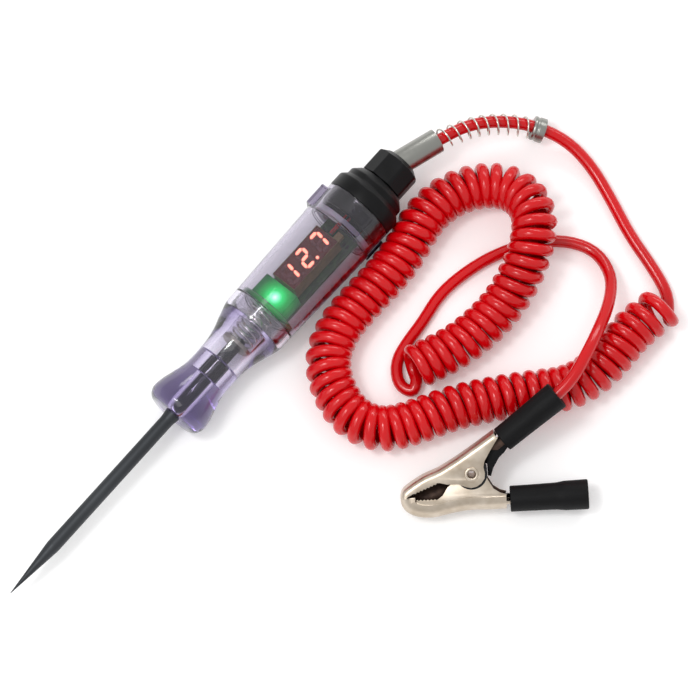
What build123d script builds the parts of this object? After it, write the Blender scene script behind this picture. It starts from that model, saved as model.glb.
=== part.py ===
from build123d import *
import os
from math import atan2, cos, degrees, pi, radians, sin, tan

# Circuit test light, in millimetres.
#
# The tester is built on its own axis: s runs along +X from the tip of the probe, r is the
# distance from the axis. It is then tilted until it rests on the flare of its nose and the
# rear edge of its barrel, and moved until the origin is at the bottom centre of its box.
# The cord and the clip lie beside it, on the -Y side.

GAP = 0.05            # running gap round a turned piece in its bore
SEAT_GAP = 0.1        # gap round a piece that drops into a moulded seat

# ---- probe and nose ------------------------------------------------------------------
ROD_R = 2.4           # steel probe
POINT_LENGTH = 21.2
POINT_R = 0.15
PROBE_OUT = 81.5      # how far the rod stands out of the nose
COLLET_STEP = 0.4     # swaged swelling of the rod where it enters the nose
COLLET_LENGTH = 2.6
NOSE_LENGTH = 46.5    # from its front face to the joint with the barrel
NOSE_LIP_R = 8.9
NOSE_LIP_BULGE = (1.0, 0.75)    # behind the front face, and below the flare
FLARE_AT = 3.5        # stations of the nose, from its front face
FLARE_R = 11.2
WAIST_AT = (18.0, 24.0)
WAIST_R = 8.15
WAIST_RISE = 0.05
SHOULDER_AT = ((31.5, 9.2), (37.1, 11.0))
CORNER_BEFORE = 5.6   # from the widest part of the nose to the joint
CORNER_R = 12.15
CORNER_SLOPE = 0.22
JOINT_R = 12.3
RETAINER_AT = 16.5
RETAINER_LENGTH = 7.5
RETAINER_HUB_WALL = 0.7
RETAINER_WING_REACH = 1.5
RETAINER_WING_WIDTH = 1.8
SPRING_CAVITY_R = 5.6
SEAT_BEFORE = 14.6    # brass seat at the rear end of the rod, from the joint
SEAT_LENGTH = 1.6
ROD_STUB = 2.2        # end of the rod that guides the contact spring
SPIGOT_LENGTH = 5.9   # barrel's spigot in the nose
SPIGOT_STEP = 1.7
SPIGOT_WALL = 1.4

# ---- barrel, cap and gland -----------------------------------------------------------
BARREL_LENGTH = 38.4  # from the joint to its rear edge
BARREL_WALL = 1.5
BARREL_REAR_R = 13.3
BARREL_REAR_WALL = 1.0
COLLAR_STEP = 0.5
COLLAR_LENGTH = 10.0
LUG_LENGTH = 8.4
LUG_HEIGHT = 1.6
LUG_WIDTH = 7.4
LUG_ANGLES = (90.0, -20.0, 225.0)   # 0 points up, 90 to +Y, uneven so that the cap fits one way
CAP_FLANGE_LENGTH = 5.1
CAP_SPIGOT_LENGTH = 6.0
CAP_SPIGOT_WALL = 1.6
CAP_STEP = 1.8
CAP_NECK_R = 8.6
CAP_LENGTH = 11.3     # from the collar's end to the gland nut
NUT_SIDES = 8
NUT_LENGTH = 10.9
NUT_CHAMFER = 2.0
NUT_MOUTH_WALL = 1.2
NUT_THREAD_R = 5.6
NUT_THREAD_LENGTH = 2.7
WIRE_WAY_R = 2.2

# ---- ferrule, relief spring and its end collar --------------------------------------
CORD_D = 4.2
FERRULE_R = 4.3
FERRULE_WALL = 0.4
FERRULE_OUT = 14.4    # length that shows
FERRULE_IN = 3.2      # length inside the nut
FERRULE_YAW = -16.5   # leans towards the clip
FERRULE_PITCH = -3.5
WEB_LENGTH = 8.0      # crimped core that grips the cord
RELIEF_WIRE = 0.6
RELIEF_TURNS = 10
RELIEF_STEPS = 14     # straight pieces in each turn
RELIEF_OUT = 35.0     # from the ferrule's mouth to the end collar
RELIEF_START = 2.0    # how far the spring starts inside the ferrule
RELIEF_PLAY = 0.25    # the cord bears on one side of the spring,
RELIEF_SIDE_FROM = 8.0    # once it is this far from the mouth
END_COLLAR_LENGTH = 4.2
END_COLLAR_GAP = 0.15

# ---- electronics, in a frame rolled about the axis ----------------------------------
ROLL = 15.0
CONTACT_WIRE = 0.8
CONTACT_PLAY = 0.45   # round the contact spring in its cavity
CONTACT_TURNS = 5.5
PLATE_AT = 0.5        # clear contact plate, behind the joint
PLATE_LENGTH = 1.8
BOARD_WIDTH = 14.5
BOARD_THICK = 1.2
BOARD_TOP = -2.2
BOARD_TO_CAP = 1.8
DISPLAY_LENGTH = 22.5
DISPLAY_WIDTH = 10.0
DISPLAY_HEIGHT = 6.2
DISPLAY_STAND = 1.2
DISPLAY_FROM_PLATE = 9.5
FACE_THICK = 0.4
FACE_RIM = 0.25
SEGMENT_THICK = 0.12
DIGIT_PITCH = 7.4
DIGIT_HEIGHT = 7.6
DIGIT_WIDTH = 4.5
DIGIT_SLANT = 0.14
DIGIT_SHIFT = -0.3    # leaves room for the last decimal point
SEGMENT_WIDTH = 1.05
SEGMENT_SPLIT = 0.22
POINT_GAP = 1.0       # from a digit to its decimal point
PIN = 0.5
PINS_PER_ROW = 6
PIN_PITCH = 2.54
PIN_BELOW = 0.8
GUIDE_LENGTH = 8.6
GUIDE_EDGE = 0.15     # from the light guide's sides to the board's
GUIDE_HEIGHT = 6.8
GUIDE_WALL = 1.3
LED_SIZE = (3.0, 3.4, 2.0)
LED_DOME_R = 1.25
LED_SIDES = (0.6, -3.6)
CHIP_SIZE = (9.8, 3.9, 1.5)
RESISTOR_SIZE = (1.6, 0.8, 0.5)
RESISTOR_SIDES = (-5.6, -4.0, 4.0, 5.6)
RESISTOR_GAP = 0.8    # behind the display
CAPACITOR_SIZE = (3.2, 2.6, 1.9)
CAPACITOR_SIDE = -1.1
CAPACITOR_GAP = 0.6
RING_LENGTH = 1.8
RING_R_IN = 7.7
WIRE_R = 0.7
WIRE_FROM_RING = 2.6
WIRE_SIDE = 2.2
WIRE_BENDS = ((4.0, 1.8, -0.9), (9.8, 0.7, 0.3))    # behind the ring's front face

# ---- cord -----------------------------------------------------------------------------
COIL_D = 15.8         # outside of the curly cord's turns
ON_FLOOR = CORD_D / 2
IN_COIL = COIL_D / 2
ARC_SHARE = 0.45
LEAD_OUT = 3.0        # the cord leaves the ferrule straight for this far
LEAD = (
    (118.4, -9.4, 11.9), (127.2, -16.8, 9.0), (133.6, -26.2, 6.4), (136.8, -37.0, 4.1),
    (135.6, -48.6, 2.5), (131.2, -61.0, ON_FLOOR), (126.0, -73.6, ON_FLOOR),
    (122.8, -86.0, ON_FLOOR), (118.8, -97.4, ON_FLOOR), (111.6, -103.0, 2.9),
)
COIL = (
    (113.4, -99.4, IN_COIL), (101.0, -96.6, IN_COIL), (89.7, -97.6, IN_COIL),
    (79.2, -97.2, IN_COIL), (69.6, -93.6, IN_COIL), (60.6, -85.2, IN_COIL),
    (50.6, -77.2, IN_COIL), (39.6, -69.2, IN_COIL), (27.6, -63.2, IN_COIL),
    (18.0, -56.8, IN_COIL), (14.2, -46.8, IN_COIL), (17.2, -35.4, IN_COIL),
    (24.4, -25.8, IN_COIL), (35.4, -21.8, IN_COIL), (48.0, -21.6, IN_COIL),
    (60.2, -22.0, IN_COIL), (71.6, -20.9, IN_COIL), (83.2, -17.8, IN_COIL),
    (95.0, -19.2, IN_COIL), (105.4, -25.4, IN_COIL), (111.2, -34.6, 9.4), (108.8, -45.8, 14.4),
    (99.4, -53.0, 15.2), (88.4, -57.0, 11.6), (77.0, -58.6, 8.2), (64.8, -58.0, IN_COIL),
    (52.4, -55.2, IN_COIL), (40.6, -49.8, IN_COIL),
)
TAIL = (
    (40.6, -49.0, 9.0), (47.6, -44.2, 4.5), (56.6, -41.0, 2.3), (67.6, -38.8, ON_FLOOR),
    (79.2, -40.2, ON_FLOOR), (91.0, -43.8, ON_FLOOR), (102.0, -50.2, ON_FLOOR),
    (110.4, -58.4, ON_FLOOR), (114.4, -68.6, 2.3), (110.6, -79.0, 5.4), (101.4, -85.6, 12.6),
    (90.4, -90.0, 19.4), (79.4, -93.4, 22.8),
)
TAIL_OUT = 5.0        # the cord leaves the sleeve straight for this far

# ---- clip -----------------------------------------------------------------------------
# Drawn in its own plane: a runs forward to back, b up, and the rivet stands across it.
CLIP_PIVOT = (26.5, -89.0, 10.3)
CLIP_TURN = -48.63    # direction of a, seen from above
CLIP_TILT = 23.0      # the upper handle lies up on the curly cord
SHEET = 0.8
UPPER_WIDTH = 10.6
SIDE_GAP = 0.12       # between the cheeks of the two levers
RIVET_R = 1.5
RIVET_HEAD_R = 2.35
RIVET_HEAD = 0.7
RIVET_BORE = 0.9
RIVET_GAP = 0.05
LOBE_R = 4.6
JAW_GAP = 0.35
UPPER_TANG_ANGLE = 39.4
UPPER_TANG_START = (8.6, 9.6)
UPPER_TANG_LENGTH = 17.0
LOWER_TANG_ANGLE = 3.5
LOWER_TANG_START = (10.4, -9.3)
LOWER_TANG_LENGTH = 25.0
TANG_WIDTH = 5.6
TANG_DEPTH = 3.0
UPPER_SLEEVE_FROM = 2.2   # along the tang, from its start
UPPER_SLEEVE_LENGTH = 24.0
UPPER_SLEEVE_R = (4.45, 4.95)
LOWER_SLEEVE_FROM = 2.7
LOWER_SLEEVE_LENGTH = 26.4
LOWER_SLEEVE_R = (4.4, 5.1)
SLEEVE_WALL = 0.8
CRIMP_LENGTH = 4.0
CRIMP_WALL = 0.2
CLIP_WIRE = 0.8
CLIP_COIL_R = 2.6
CLIP_TURNS = 3.5
CLIP_LEG = 9.0
CLIP_LEG_ANGLES = (40.0, -28.0)   # towards the upper and the lower handle


def turned(outline):
    """The solid turned about X from its (s, r) outline, which the axis closes."""
    points = [(outline[0][0], 0.0), *outline, (outline[-1][0], 0.0)]
    return revolve(make_face(Polyline(*points, close=True)), Axis.X)


def rod(s0, s1, r):
    return turned([(s0, r), (s1, r)])


def block(s0, s1, y0, y1, z0, z1):
    middle = ((s0 + s1) / 2, (y0 + y1) / 2, (z0 + z1) / 2)
    return Pos(*middle) * Box(s1 - s0, y1 - y0, z1 - z0)


def group(solids):
    """Separate solids that share one node."""
    return Compound(children=list(solids))


def coil_spring(radius, wire, turns, length):
    """A round-wire spring along +Z from z = 0, whose ends lie inside the length."""
    line = Helix((length - wire - 2 * GAP) / turns, length - wire - 2 * GAP, radius)
    section = Plane(line @ 0, z_dir=line % 0) * Circle(wire / 2)
    return Pos(0, 0, wire / 2 + GAP) * sweep(section, path=line, is_frenet=True)


# ---- the tester's own turned pieces --------------------------------------------------
NOSE_FRONT = PROBE_OUT
FLARE_S = NOSE_FRONT + FLARE_AT
WAIST_S = [NOSE_FRONT + at for at in WAIST_AT]
SHOULDER = [(NOSE_FRONT + at, r) for at, r in SHOULDER_AT]
JOINT_S = NOSE_FRONT + NOSE_LENGTH
CORNER_S = JOINT_S - CORNER_BEFORE
COLLET_R = ROD_R + COLLET_STEP
RETAINER_S = NOSE_FRONT + RETAINER_AT
RETAINER_END = RETAINER_S + RETAINER_LENGTH
RETAINER_WING_R = ROD_R + RETAINER_WING_REACH
SEAT_S = JOINT_S - SEAT_BEFORE
SEAT_END = SEAT_S + SEAT_LENGTH
SPIGOT_R = JOINT_R - SPIGOT_STEP
SPIGOT_BORE_R = SPIGOT_R - SPIGOT_WALL
BARREL_REAR_S = JOINT_S + BARREL_LENGTH
COLLAR_R = BARREL_REAR_R - COLLAR_STEP
COLLAR_BORE_R = COLLAR_R - BARREL_WALL
COLLAR_END_S = BARREL_REAR_S + COLLAR_LENGTH
CAP_SPIGOT_S = COLLAR_END_S - CAP_SPIGOT_LENGTH
CAP_STEP_R = COLLAR_R - CAP_STEP
CAP_END = COLLAR_END_S + CAP_LENGTH
NUT_END = CAP_END + NUT_LENGTH
NUT_CORNER_R = CAP_NECK_R - SEAT_GAP
PLATE_S = JOINT_S + PLATE_AT
BOARD_S = PLATE_S + PLATE_LENGTH
BOARD_LENGTH = CAP_SPIGOT_S - BOARD_TO_CAP - BOARD_S


def barrel_r(s):
    """Outer radius of the tapered barrel."""
    return JOINT_R + (BARREL_REAR_R - JOINT_R) * (s - JOINT_S) / (BARREL_REAR_S - JOINT_S)


def make_probe():
    swell = NOSE_FRONT + COLLET_LENGTH
    return turned([
        (0, POINT_R), (POINT_LENGTH, ROD_R), (NOSE_FRONT - COLLET_LENGTH, ROD_R), (NOSE_FRONT, COLLET_R),
        (swell, COLLET_R), (swell, ROD_R), (SEAT_END + ROD_STUB, ROD_R),
    ])


def make_probe_retainer():
    half, reach = RETAINER_WING_WIDTH / 2, RETAINER_WING_R
    wings = block(RETAINER_S, RETAINER_END, -reach, reach, -half, half)
    wings &= rod(RETAINER_S, RETAINER_END, reach)
    hub = rod(RETAINER_S, RETAINER_END, ROD_R + RETAINER_HUB_WALL)
    return hub + wings - rod(RETAINER_S - 1, RETAINER_END + 1, ROD_R + GAP)


def make_spring_seat():
    disc = rod(SEAT_S, SEAT_END, SPRING_CAVITY_R - SEAT_GAP)
    return disc - rod(SEAT_S - 1, SEAT_END + 1, ROD_R + GAP)


def make_nose_cone():
    behind, below = NOSE_LIP_BULGE
    lip = ThreePointArc((NOSE_FRONT, NOSE_LIP_R), (NOSE_FRONT + behind, FLARE_R - below), (FLARE_S, FLARE_R))
    halfway = ((FLARE_S + WAIST_S[0]) / 2, (FLARE_R + WAIST_R) / 2)
    sweep_line = Spline(
        (FLARE_S, FLARE_R), halfway, (WAIST_S[0], WAIST_R + WAIST_RISE), (WAIST_S[1], WAIST_R), *SHOULDER,
        (CORNER_S, CORNER_R), tangents=[(1, 0), (1, CORNER_SLOPE)],
    )
    rest = Polyline(
        (CORNER_S, CORNER_R), (JOINT_S, JOINT_R), (JOINT_S, 0), (NOSE_FRONT, 0), (NOSE_FRONT, NOSE_LIP_R),
    )
    body = revolve(make_face(lip + sweep_line + rest), Axis.X)
    chamber_end = RETAINER_END + SEAT_GAP
    body -= rod(NOSE_FRONT - 1, NOSE_FRONT + COLLET_LENGTH + GAP, COLLET_R + GAP)
    body -= rod(NOSE_FRONT, chamber_end, ROD_R + GAP)
    body -= rod(RETAINER_S - GAP, chamber_end, RETAINER_WING_R + SEAT_GAP)
    body -= rod(chamber_end, JOINT_S, SPRING_CAVITY_R)
    return body - rod(JOINT_S - SPIGOT_LENGTH - GAP, JOINT_S + 1, SPIGOT_R + GAP)


def make_barrel():
    shell = turned([
        (JOINT_S - SPIGOT_LENGTH, SPIGOT_R), (JOINT_S, SPIGOT_R), (JOINT_S, JOINT_R),
        (BARREL_REAR_S, BARREL_REAR_R), (BARREL_REAR_S, COLLAR_R), (COLLAR_END_S, COLLAR_R),
    ])
    for angle in LUG_ANGLES:
        lug = block(
            BARREL_REAR_S, BARREL_REAR_S + LUG_LENGTH, -LUG_WIDTH / 2, LUG_WIDTH / 2,
            COLLAR_BORE_R + BARREL_WALL / 2, COLLAR_R + LUG_HEIGHT,
        )
        shell += Rot(-angle, 0, 0) * lug
    wide = BARREL_REAR_S - BARREL_REAR_WALL
    return shell - turned([
        (JOINT_S - SPIGOT_LENGTH - 1, SPIGOT_BORE_R), (PLATE_S, SPIGOT_BORE_R),
        (PLATE_S, barrel_r(PLATE_S) - BARREL_WALL), (wide, barrel_r(wide) - BARREL_WALL),
        (wide, COLLAR_BORE_R), (COLLAR_END_S + 1, COLLAR_BORE_R),
    ])


def make_contact_plate():
    return rod(PLATE_S, PLATE_S + PLATE_LENGTH, barrel_r(PLATE_S) - BARREL_WALL - SEAT_GAP)


def make_contact_spring():
    radius = SPRING_CAVITY_R - CONTACT_PLAY - CONTACT_WIRE / 2
    spring = coil_spring(radius, CONTACT_WIRE, CONTACT_TURNS, PLATE_S - SEAT_END)
    return Pos(SEAT_END, 0, 0) * Rot(0, 90, 0) * spring


def make_end_cap():
    spigot_r = COLLAR_BORE_R - SEAT_GAP
    front = CAP_SPIGOT_S
    flange_end = COLLAR_END_S + CAP_FLANGE_LENGTH
    floor = CAP_END - NUT_THREAD_LENGTH - GAP
    body = turned([
        (front, spigot_r), (COLLAR_END_S, spigot_r), (COLLAR_END_S, COLLAR_R), (flange_end, COLLAR_R),
        (flange_end + CAP_STEP, CAP_STEP_R), (CAP_END - (CAP_STEP_R - CAP_NECK_R), CAP_STEP_R),
        (CAP_END, CAP_NECK_R),
    ])
    body -= rod(front - 1, floor, CAP_NECK_R)
    body -= rod(front - 1, COLLAR_END_S, spigot_r - CAP_SPIGOT_WALL)
    return body - rod(floor - 1, CAP_END + 1, NUT_THREAD_R + GAP)


# ---- ferrule: leans out of the gland nut --------------------------------------------
LEAN = Rot(0, -FERRULE_PITCH, FERRULE_YAW)
FERRULE_ROOT = Pos(NUT_END, 0, 0) * LEAN * Pos(-FERRULE_IN, 0, 0)
FERRULE_LENGTH = FERRULE_IN + FERRULE_OUT


def make_gland_nut():
    nut = extrude(Plane.YZ * RegularPolygon(NUT_CORNER_R, NUT_SIDES), NUT_LENGTH)
    nut = Pos(CAP_END, 0, 0) * Rot(180 / NUT_SIDES, 0, 0) * nut
    mouth_r = FERRULE_R + NUT_MOUTH_WALL
    nut &= turned([(CAP_END, NUT_CORNER_R), (NUT_END - NUT_CHAMFER, NUT_CORNER_R), (NUT_END, mouth_r)])
    nut += rod(CAP_END - NUT_THREAD_LENGTH, CAP_END, NUT_THREAD_R)
    nut -= rod(CAP_END - NUT_THREAD_LENGTH - 1, NUT_END, WIRE_WAY_R)
    return nut - FERRULE_ROOT * rod(0, FERRULE_LENGTH, FERRULE_R + GAP)


def make_cord_ferrule():
    shell = rod(0, FERRULE_LENGTH, FERRULE_R) - rod(WEB_LENGTH, FERRULE_LENGTH + 1, FERRULE_R - FERRULE_WALL)
    return FERRULE_ROOT * (shell - rod(-1, WEB_LENGTH + 1, CORD_D / 2 + GAP))


# ---- electronics ---------------------------------------------------------------------
DISPLAY_S = BOARD_S + DISPLAY_FROM_PLATE
DISPLAY_END = DISPLAY_S + DISPLAY_LENGTH
DISPLAY_Z = BOARD_TOP + DISPLAY_STAND
DISPLAY_TOP = DISPLAY_Z + DISPLAY_HEIGHT
RING_S = BOARD_S + BOARD_LENGTH - RING_LENGTH
SEGMENTS = {          # ends of each bar, as shares of the digit's half width and half height
    "a": ((-1, 1), (1, 1)), "b": ((1, 1), (1, 0)), "c": ((1, 0), (1, -1)), "d": ((-1, -1), (1, -1)),
    "e": ((-1, 0), (-1, -1)), "f": ((-1, 1), (-1, 0)), "g": ((-1, 0), (1, 0)),
}
READING = ("bc", "abged.", "abc")


def pin_places():
    for row in (-1, 1):
        for i in range(PINS_PER_ROW):
            s = DISPLAY_S + DISPLAY_LENGTH / 2 + (i - (PINS_PER_ROW - 1) / 2) * PIN_PITCH
            yield s, row * 1.5 * PIN_PITCH


def make_circuit_board():
    half, end = BOARD_WIDTH / 2, BOARD_S + BOARD_LENGTH
    board = block(BOARD_S, end, -half, half, BOARD_TOP - BOARD_THICK, BOARD_TOP)
    hole = PIN / 2 + GAP
    for s, y in pin_places():
        board -= block(s - hole, s + hole, y - hole, y + hole, BOARD_TOP - BOARD_THICK - 1, BOARD_TOP + 1)
    return board


def make_board_ring():
    end = RING_S + RING_LENGTH
    ring = rod(RING_S, end, COLLAR_BORE_R - SEAT_GAP) - rod(RING_S - 1, end + 1, RING_R_IN)
    half = BOARD_WIDTH / 2 + GAP
    return ring - block(RING_S - 1, end + 1, -half, half, BOARD_TOP - BOARD_THICK - GAP, BOARD_TOP + GAP)


def make_display_housing():
    half = DISPLAY_WIDTH / 2
    rim, inside = FACE_RIM, half - FACE_RIM
    body = block(DISPLAY_S, DISPLAY_END, -half, half, DISPLAY_Z, DISPLAY_TOP)
    recess = DISPLAY_TOP - FACE_THICK
    return body - block(DISPLAY_S + rim, DISPLAY_END - rim, -inside, inside, recess, DISPLAY_TOP + 1)


def make_display_face():
    half = DISPLAY_WIDTH / 2 - FACE_RIM - GAP
    inset = FACE_RIM + GAP
    return block(DISPLAY_S + inset, DISPLAY_END - inset, -half, half, DISPLAY_TOP - FACE_THICK, DISPLAY_TOP)


def segment(name, middle):
    """One bar of a digit, with pointed ends, lying on the display's face."""
    w, h = (DIGIT_WIDTH - SEGMENT_WIDTH) / 2, (DIGIT_HEIGHT - SEGMENT_WIDTH) / 2
    (p0, q0), (p1, q1) = [(p * w, q * h) for p, q in SEGMENTS[name]]
    along = Vector(p1 - p0, q1 - q0).normalized()
    across = Vector(-along.Y, along.X) * (SEGMENT_WIDTH / 2)
    first = Vector(p0, q0) + along * SEGMENT_SPLIT
    last = Vector(p1, q1) - along * SEGMENT_SPLIT
    inner = along * (SEGMENT_WIDTH / 2)
    upper = [first + inner + across, last - inner + across]
    lower = [last - inner - across, first + inner - across]
    corners = [first, *upper, last, *lower]
    slanted = [(middle + c.X + c.Y * DIGIT_SLANT, c.Y) for c in corners]
    return Pos(0, 0, DISPLAY_TOP) * extrude(make_face(Polyline(*slanted, close=True)), SEGMENT_THICK)


def decimal_point(middle):
    p, q = DIGIT_WIDTH / 2 + POINT_GAP, -(DIGIT_HEIGHT - SEGMENT_WIDTH) / 2
    dot = extrude(Circle(SEGMENT_WIDTH / 2), SEGMENT_THICK)
    return Pos(middle + p + q * DIGIT_SLANT, q, DISPLAY_TOP) * dot


def make_segments(lit):
    solids = []
    for i, shown in enumerate(READING):
        middle = DISPLAY_S + DISPLAY_LENGTH / 2 + (i - 1) * DIGIT_PITCH + DIGIT_SHIFT
        solids += [segment(name, middle) for name in SEGMENTS if (name in shown) == lit]
        if ("." in shown) == lit and i < 2:
            solids.append(decimal_point(middle))
    return group(solids)


def make_display_pins():
    half, z0 = PIN / 2, BOARD_TOP - BOARD_THICK - PIN_BELOW
    return group([block(s - half, s + half, y - half, y + half, z0, DISPLAY_Z) for s, y in pin_places()])


def make_light_guide():
    half, end, top = BOARD_WIDTH / 2 - GUIDE_EDGE, BOARD_S + GUIDE_LENGTH, BOARD_TOP + GUIDE_HEIGHT
    inside, wall = half - GUIDE_WALL, GUIDE_WALL
    guide = block(BOARD_S, end, -half, half, BOARD_TOP, top)
    return guide - block(BOARD_S + wall, end - wall, -inside, inside, BOARD_TOP - 1, top - 2 * wall)


def on_board(s0, y, size, above=True):
    """A flat part from s0 on, with its middle at y, soldered to the board's upper or lower face."""
    length, width, height = size
    z0 = BOARD_TOP if above else BOARD_TOP - BOARD_THICK - height
    return block(s0, s0 + length, y - width / 2, y + width / 2, z0, z0 + height)


def make_led(y):
    length, width, height = LED_SIZE
    s0 = BOARD_S + (GUIDE_LENGTH - length) / 2
    base = on_board(s0, y, (length, width, height / 2))
    dome = Cylinder(LED_DOME_R, height / 2, align=(Align.CENTER, Align.CENTER, Align.MIN))
    return base + Pos(s0 + length / 2, y, BOARD_TOP + height / 2) * dome


def make_control_chip():
    return on_board(DISPLAY_S + (DISPLAY_LENGTH - CHIP_SIZE[0]) / 2, 0, CHIP_SIZE, above=False)


def make_chip_resistors():
    return group([on_board(DISPLAY_END + RESISTOR_GAP, y, RESISTOR_SIZE) for y in RESISTOR_SIDES])


def make_capacitor():
    return on_board(DISPLAY_END + CAPACITOR_GAP, CAPACITOR_SIDE, CAPACITOR_SIZE)


def make_inner_wire():
    rolled = Rot(-ROLL, 0, 0) * Pos(RING_S - WIRE_FROM_RING, WIRE_SIDE, BOARD_TOP + WIRE_R + GAP)
    root = (FERRULE_ROOT * Pos(-GAP - WIRE_R / 2, 0, 0)).position
    bends = [Vector(RING_S + behind, y, z) for behind, y, z in WIRE_BENDS]
    return tube([rolled.position, *bends, Vector(CAP_END - 1, 0, 0), root], 2 * WIRE_R)


# ---- tubes ------------------------------------------------------------------------------
RELIEF_R = FERRULE_R - FERRULE_WALL - GAP
RELIEF_SIDE = RELIEF_R - RELIEF_WIRE - RELIEF_PLAY - CORD_D / 2


def cord_line(points):
    """Straight runs joined by tangent arcs, each as large as its two runs allow."""
    points = [Vector(p) for p in points]
    radii = []
    for before, here, after in zip(points, points[1:], points[2:]):
        turn = radians((here - before).get_angle(after - here))
        radii.append(ARC_SHARE * min((here - before).length, (after - here).length) / tan(turn / 2))
    return FilletPolyline(*points, radius=radii), radii


def tube(points, diameter):
    line, _ = cord_line(points)
    return sweep(Plane(line @ 0, z_dir=line % 0) * Circle(diameter / 2), path=line)


def beside(line, distance, side):
    """A place along a cord, moved to its right by a share of the spring's play."""
    forward = line % (distance / line.length)
    left = Vector(0, 0, 1).cross(forward).normalized()
    share = min(max(distance - FERRULE_LENGTH, 0) / RELIEF_SIDE_FROM, 1)
    return (line @ (distance / line.length)) - left * (side * share), forward, left


def make_relief_spring(line):
    r = RELIEF_R - RELIEF_WIRE / 2
    first = FERRULE_LENGTH - RELIEF_START
    last = FERRULE_LENGTH + RELIEF_OUT - RELIEF_WIRE
    steps = RELIEF_TURNS * RELIEF_STEPS
    points = []
    for i in range(steps + 1):
        middle, forward, left = beside(line, first + (last - first) * i / steps, RELIEF_SIDE)
        angle = 2 * pi * RELIEF_TURNS * i / steps
        points.append(middle + left * (r * cos(angle)) + forward.cross(left) * (r * sin(angle)))
    path = Polyline(*points)
    section = Plane(points[0], z_dir=points[1] - points[0]) * Circle(RELIEF_WIRE / 2)
    return sweep(section, path=path, transition=Transition.RIGHT)


def make_spring_collar(line):
    centre_at = FERRULE_LENGTH + RELIEF_OUT + END_COLLAR_LENGTH / 2
    middle, forward, _ = beside(line, centre_at, RELIEF_SIDE)
    ring = Plane(middle, z_dir=forward) * Cylinder(FERRULE_R, END_COLLAR_LENGTH)
    cord_middle = beside(line, centre_at, 0)[0]
    bore = Plane(cord_middle, z_dir=forward) * Cylinder(CORD_D / 2 + END_COLLAR_GAP, 2 * END_COLLAR_LENGTH)
    return ring - bore


def report_cord(name, points, diameter, solid):
    line, radii = cord_line(points)
    expected = pi * diameter ** 2 / 4 * line.length
    print(
        f"{name}: length {line.length:.1f}, volume / (section x length) {solid.volume / expected:.4f}, "
        f"radii {[round(r, 1) for r in radii]}"
    )


# ---- placing the tester ---------------------------------------------------------------
def make_tester():
    pieces = {
        "probe": make_probe(),
        "probe_retainer": make_probe_retainer(),
        "spring_seat": make_spring_seat(),
        "nose_cone": make_nose_cone(),
        "contact_spring": make_contact_spring(),
        "contact_plate": make_contact_plate(),
        "barrel": make_barrel(),
        "end_cap": make_end_cap(),
        "gland_nut": make_gland_nut(),
        "cord_ferrule": make_cord_ferrule(),
        "inner_wire": make_inner_wire(),
    }
    rolled = {
        "circuit_board": make_circuit_board(),
        "board_ring": make_board_ring(),
        "display_housing": make_display_housing(),
        "display_face": make_display_face(),
        "lit_segments": make_segments(True),
        "unlit_segments": make_segments(False),
        "display_pins": make_display_pins(),
        "light_guide": make_light_guide(),
        "green_led": make_led(LED_SIDES[0]),
        "red_led": make_led(LED_SIDES[1]),
        "control_chip": make_control_chip(),
        "chip_resistors": make_chip_resistors(),
        "capacitor": make_capacitor(),
    }
    for name, shape in rolled.items():
        pieces[name] = Rot(-ROLL, 0, 0) * shape
    return pieces


REST_SLOPE = degrees(atan2(BARREL_REAR_R - FLARE_R, BARREL_REAR_S - FLARE_S))
tilt = Rot(0, -REST_SLOPE, 0)
parts = {name: tilt * shape for name, shape in make_tester().items()}
box = Compound(children=[s.moved(Location()) for s in parts.values()]).bounding_box()
lay = Pos(-box.center().X, -box.center().Y, -box.min.Z)
parts = {name: lay * shape for name, shape in parts.items()}
FERRULE = lay * tilt * FERRULE_ROOT


# ---- clip -----------------------------------------------------------------------------
turn = Rot(0, 0, CLIP_TURN) * Rot(CLIP_TILT, 0, 0)
CLIP = Pos(*CLIP_PIVOT) * turn
LOWER_WIDTH = UPPER_WIDTH - 2 * SHEET - 2 * SIDE_GAP
UPPER_OUTLINE = (
    (-23.8, -8.4), (-23.2, -6.3), (-21.2, -4.4), (-16.4, -1.2), (-11.2, 1.2), (-0.2, 8.5), (7.2, 14.0),
    (10.0, 10.6), (9.4, 8.0), (5.2, 2.4), (3.4, -2.6), (0.0, -4.6), (-5.4, -4.6), (-9.4, -5.0),
    (-12.0, -3.5), (-16.0, -3.6), (-19.6, -5.2), (-22.0, -8.4),
)
LOWER_OUTLINE = (
    (-23.8, -8.4 - JAW_GAP), (-22.0, -8.4 - JAW_GAP), (-15.0, -8.6), (-9.4, -6.6), (-5.6, -3.4), (-3.6, 2.0),
    (0.0, 4.3), (3.8, 1.6), (7.2, -5.4), (12.0, -7.6), (12.0, -11.4), (6.6, -12.6), (-0.2, -12.9),
    (-11.7, -15.4), (-18.8, -15.1), (-21.6, -13.8), (-23.3, -11.4),
)


def across(profile, width):
    """A flat profile in the clip's plane, given a width across it."""
    return extrude(profile, width / 2, both=True)


def outline_face(points):
    return make_face(Polyline(*points, close=True))


def tang(start, angle, length):
    """Channel that a sleeve slips over."""
    outer = Pos(length / 2, 0, 0) * Box(length, TANG_DEPTH, TANG_WIDTH)
    inside = Pos(length / 2, -SHEET, 0) * Box(length + 2, TANG_DEPTH, TANG_WIDTH - 2 * SHEET)
    return Pos(*start) * Rot(0, 0, angle) * (outer - inside)


def lever(points, width, open_way, tang_place, flip):
    """A channel folded from sheet: two cheeks and the back that joins them."""
    face = outline_face(points)
    step = Vector(*open_way).normalized() * SHEET
    body = across(face, width) - Pos(step.X, step.Y, 0) * across(face, width - 2 * SHEET)
    body -= across(Circle(RIVET_R + RIVET_GAP), width + 2)
    start, angle, length = tang_place
    piece = tang((0, 0), 0, length)
    if flip:
        piece = mirror(piece, Plane.XZ)
    return body + Pos(*start) * Rot(0, 0, angle) * piece


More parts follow.
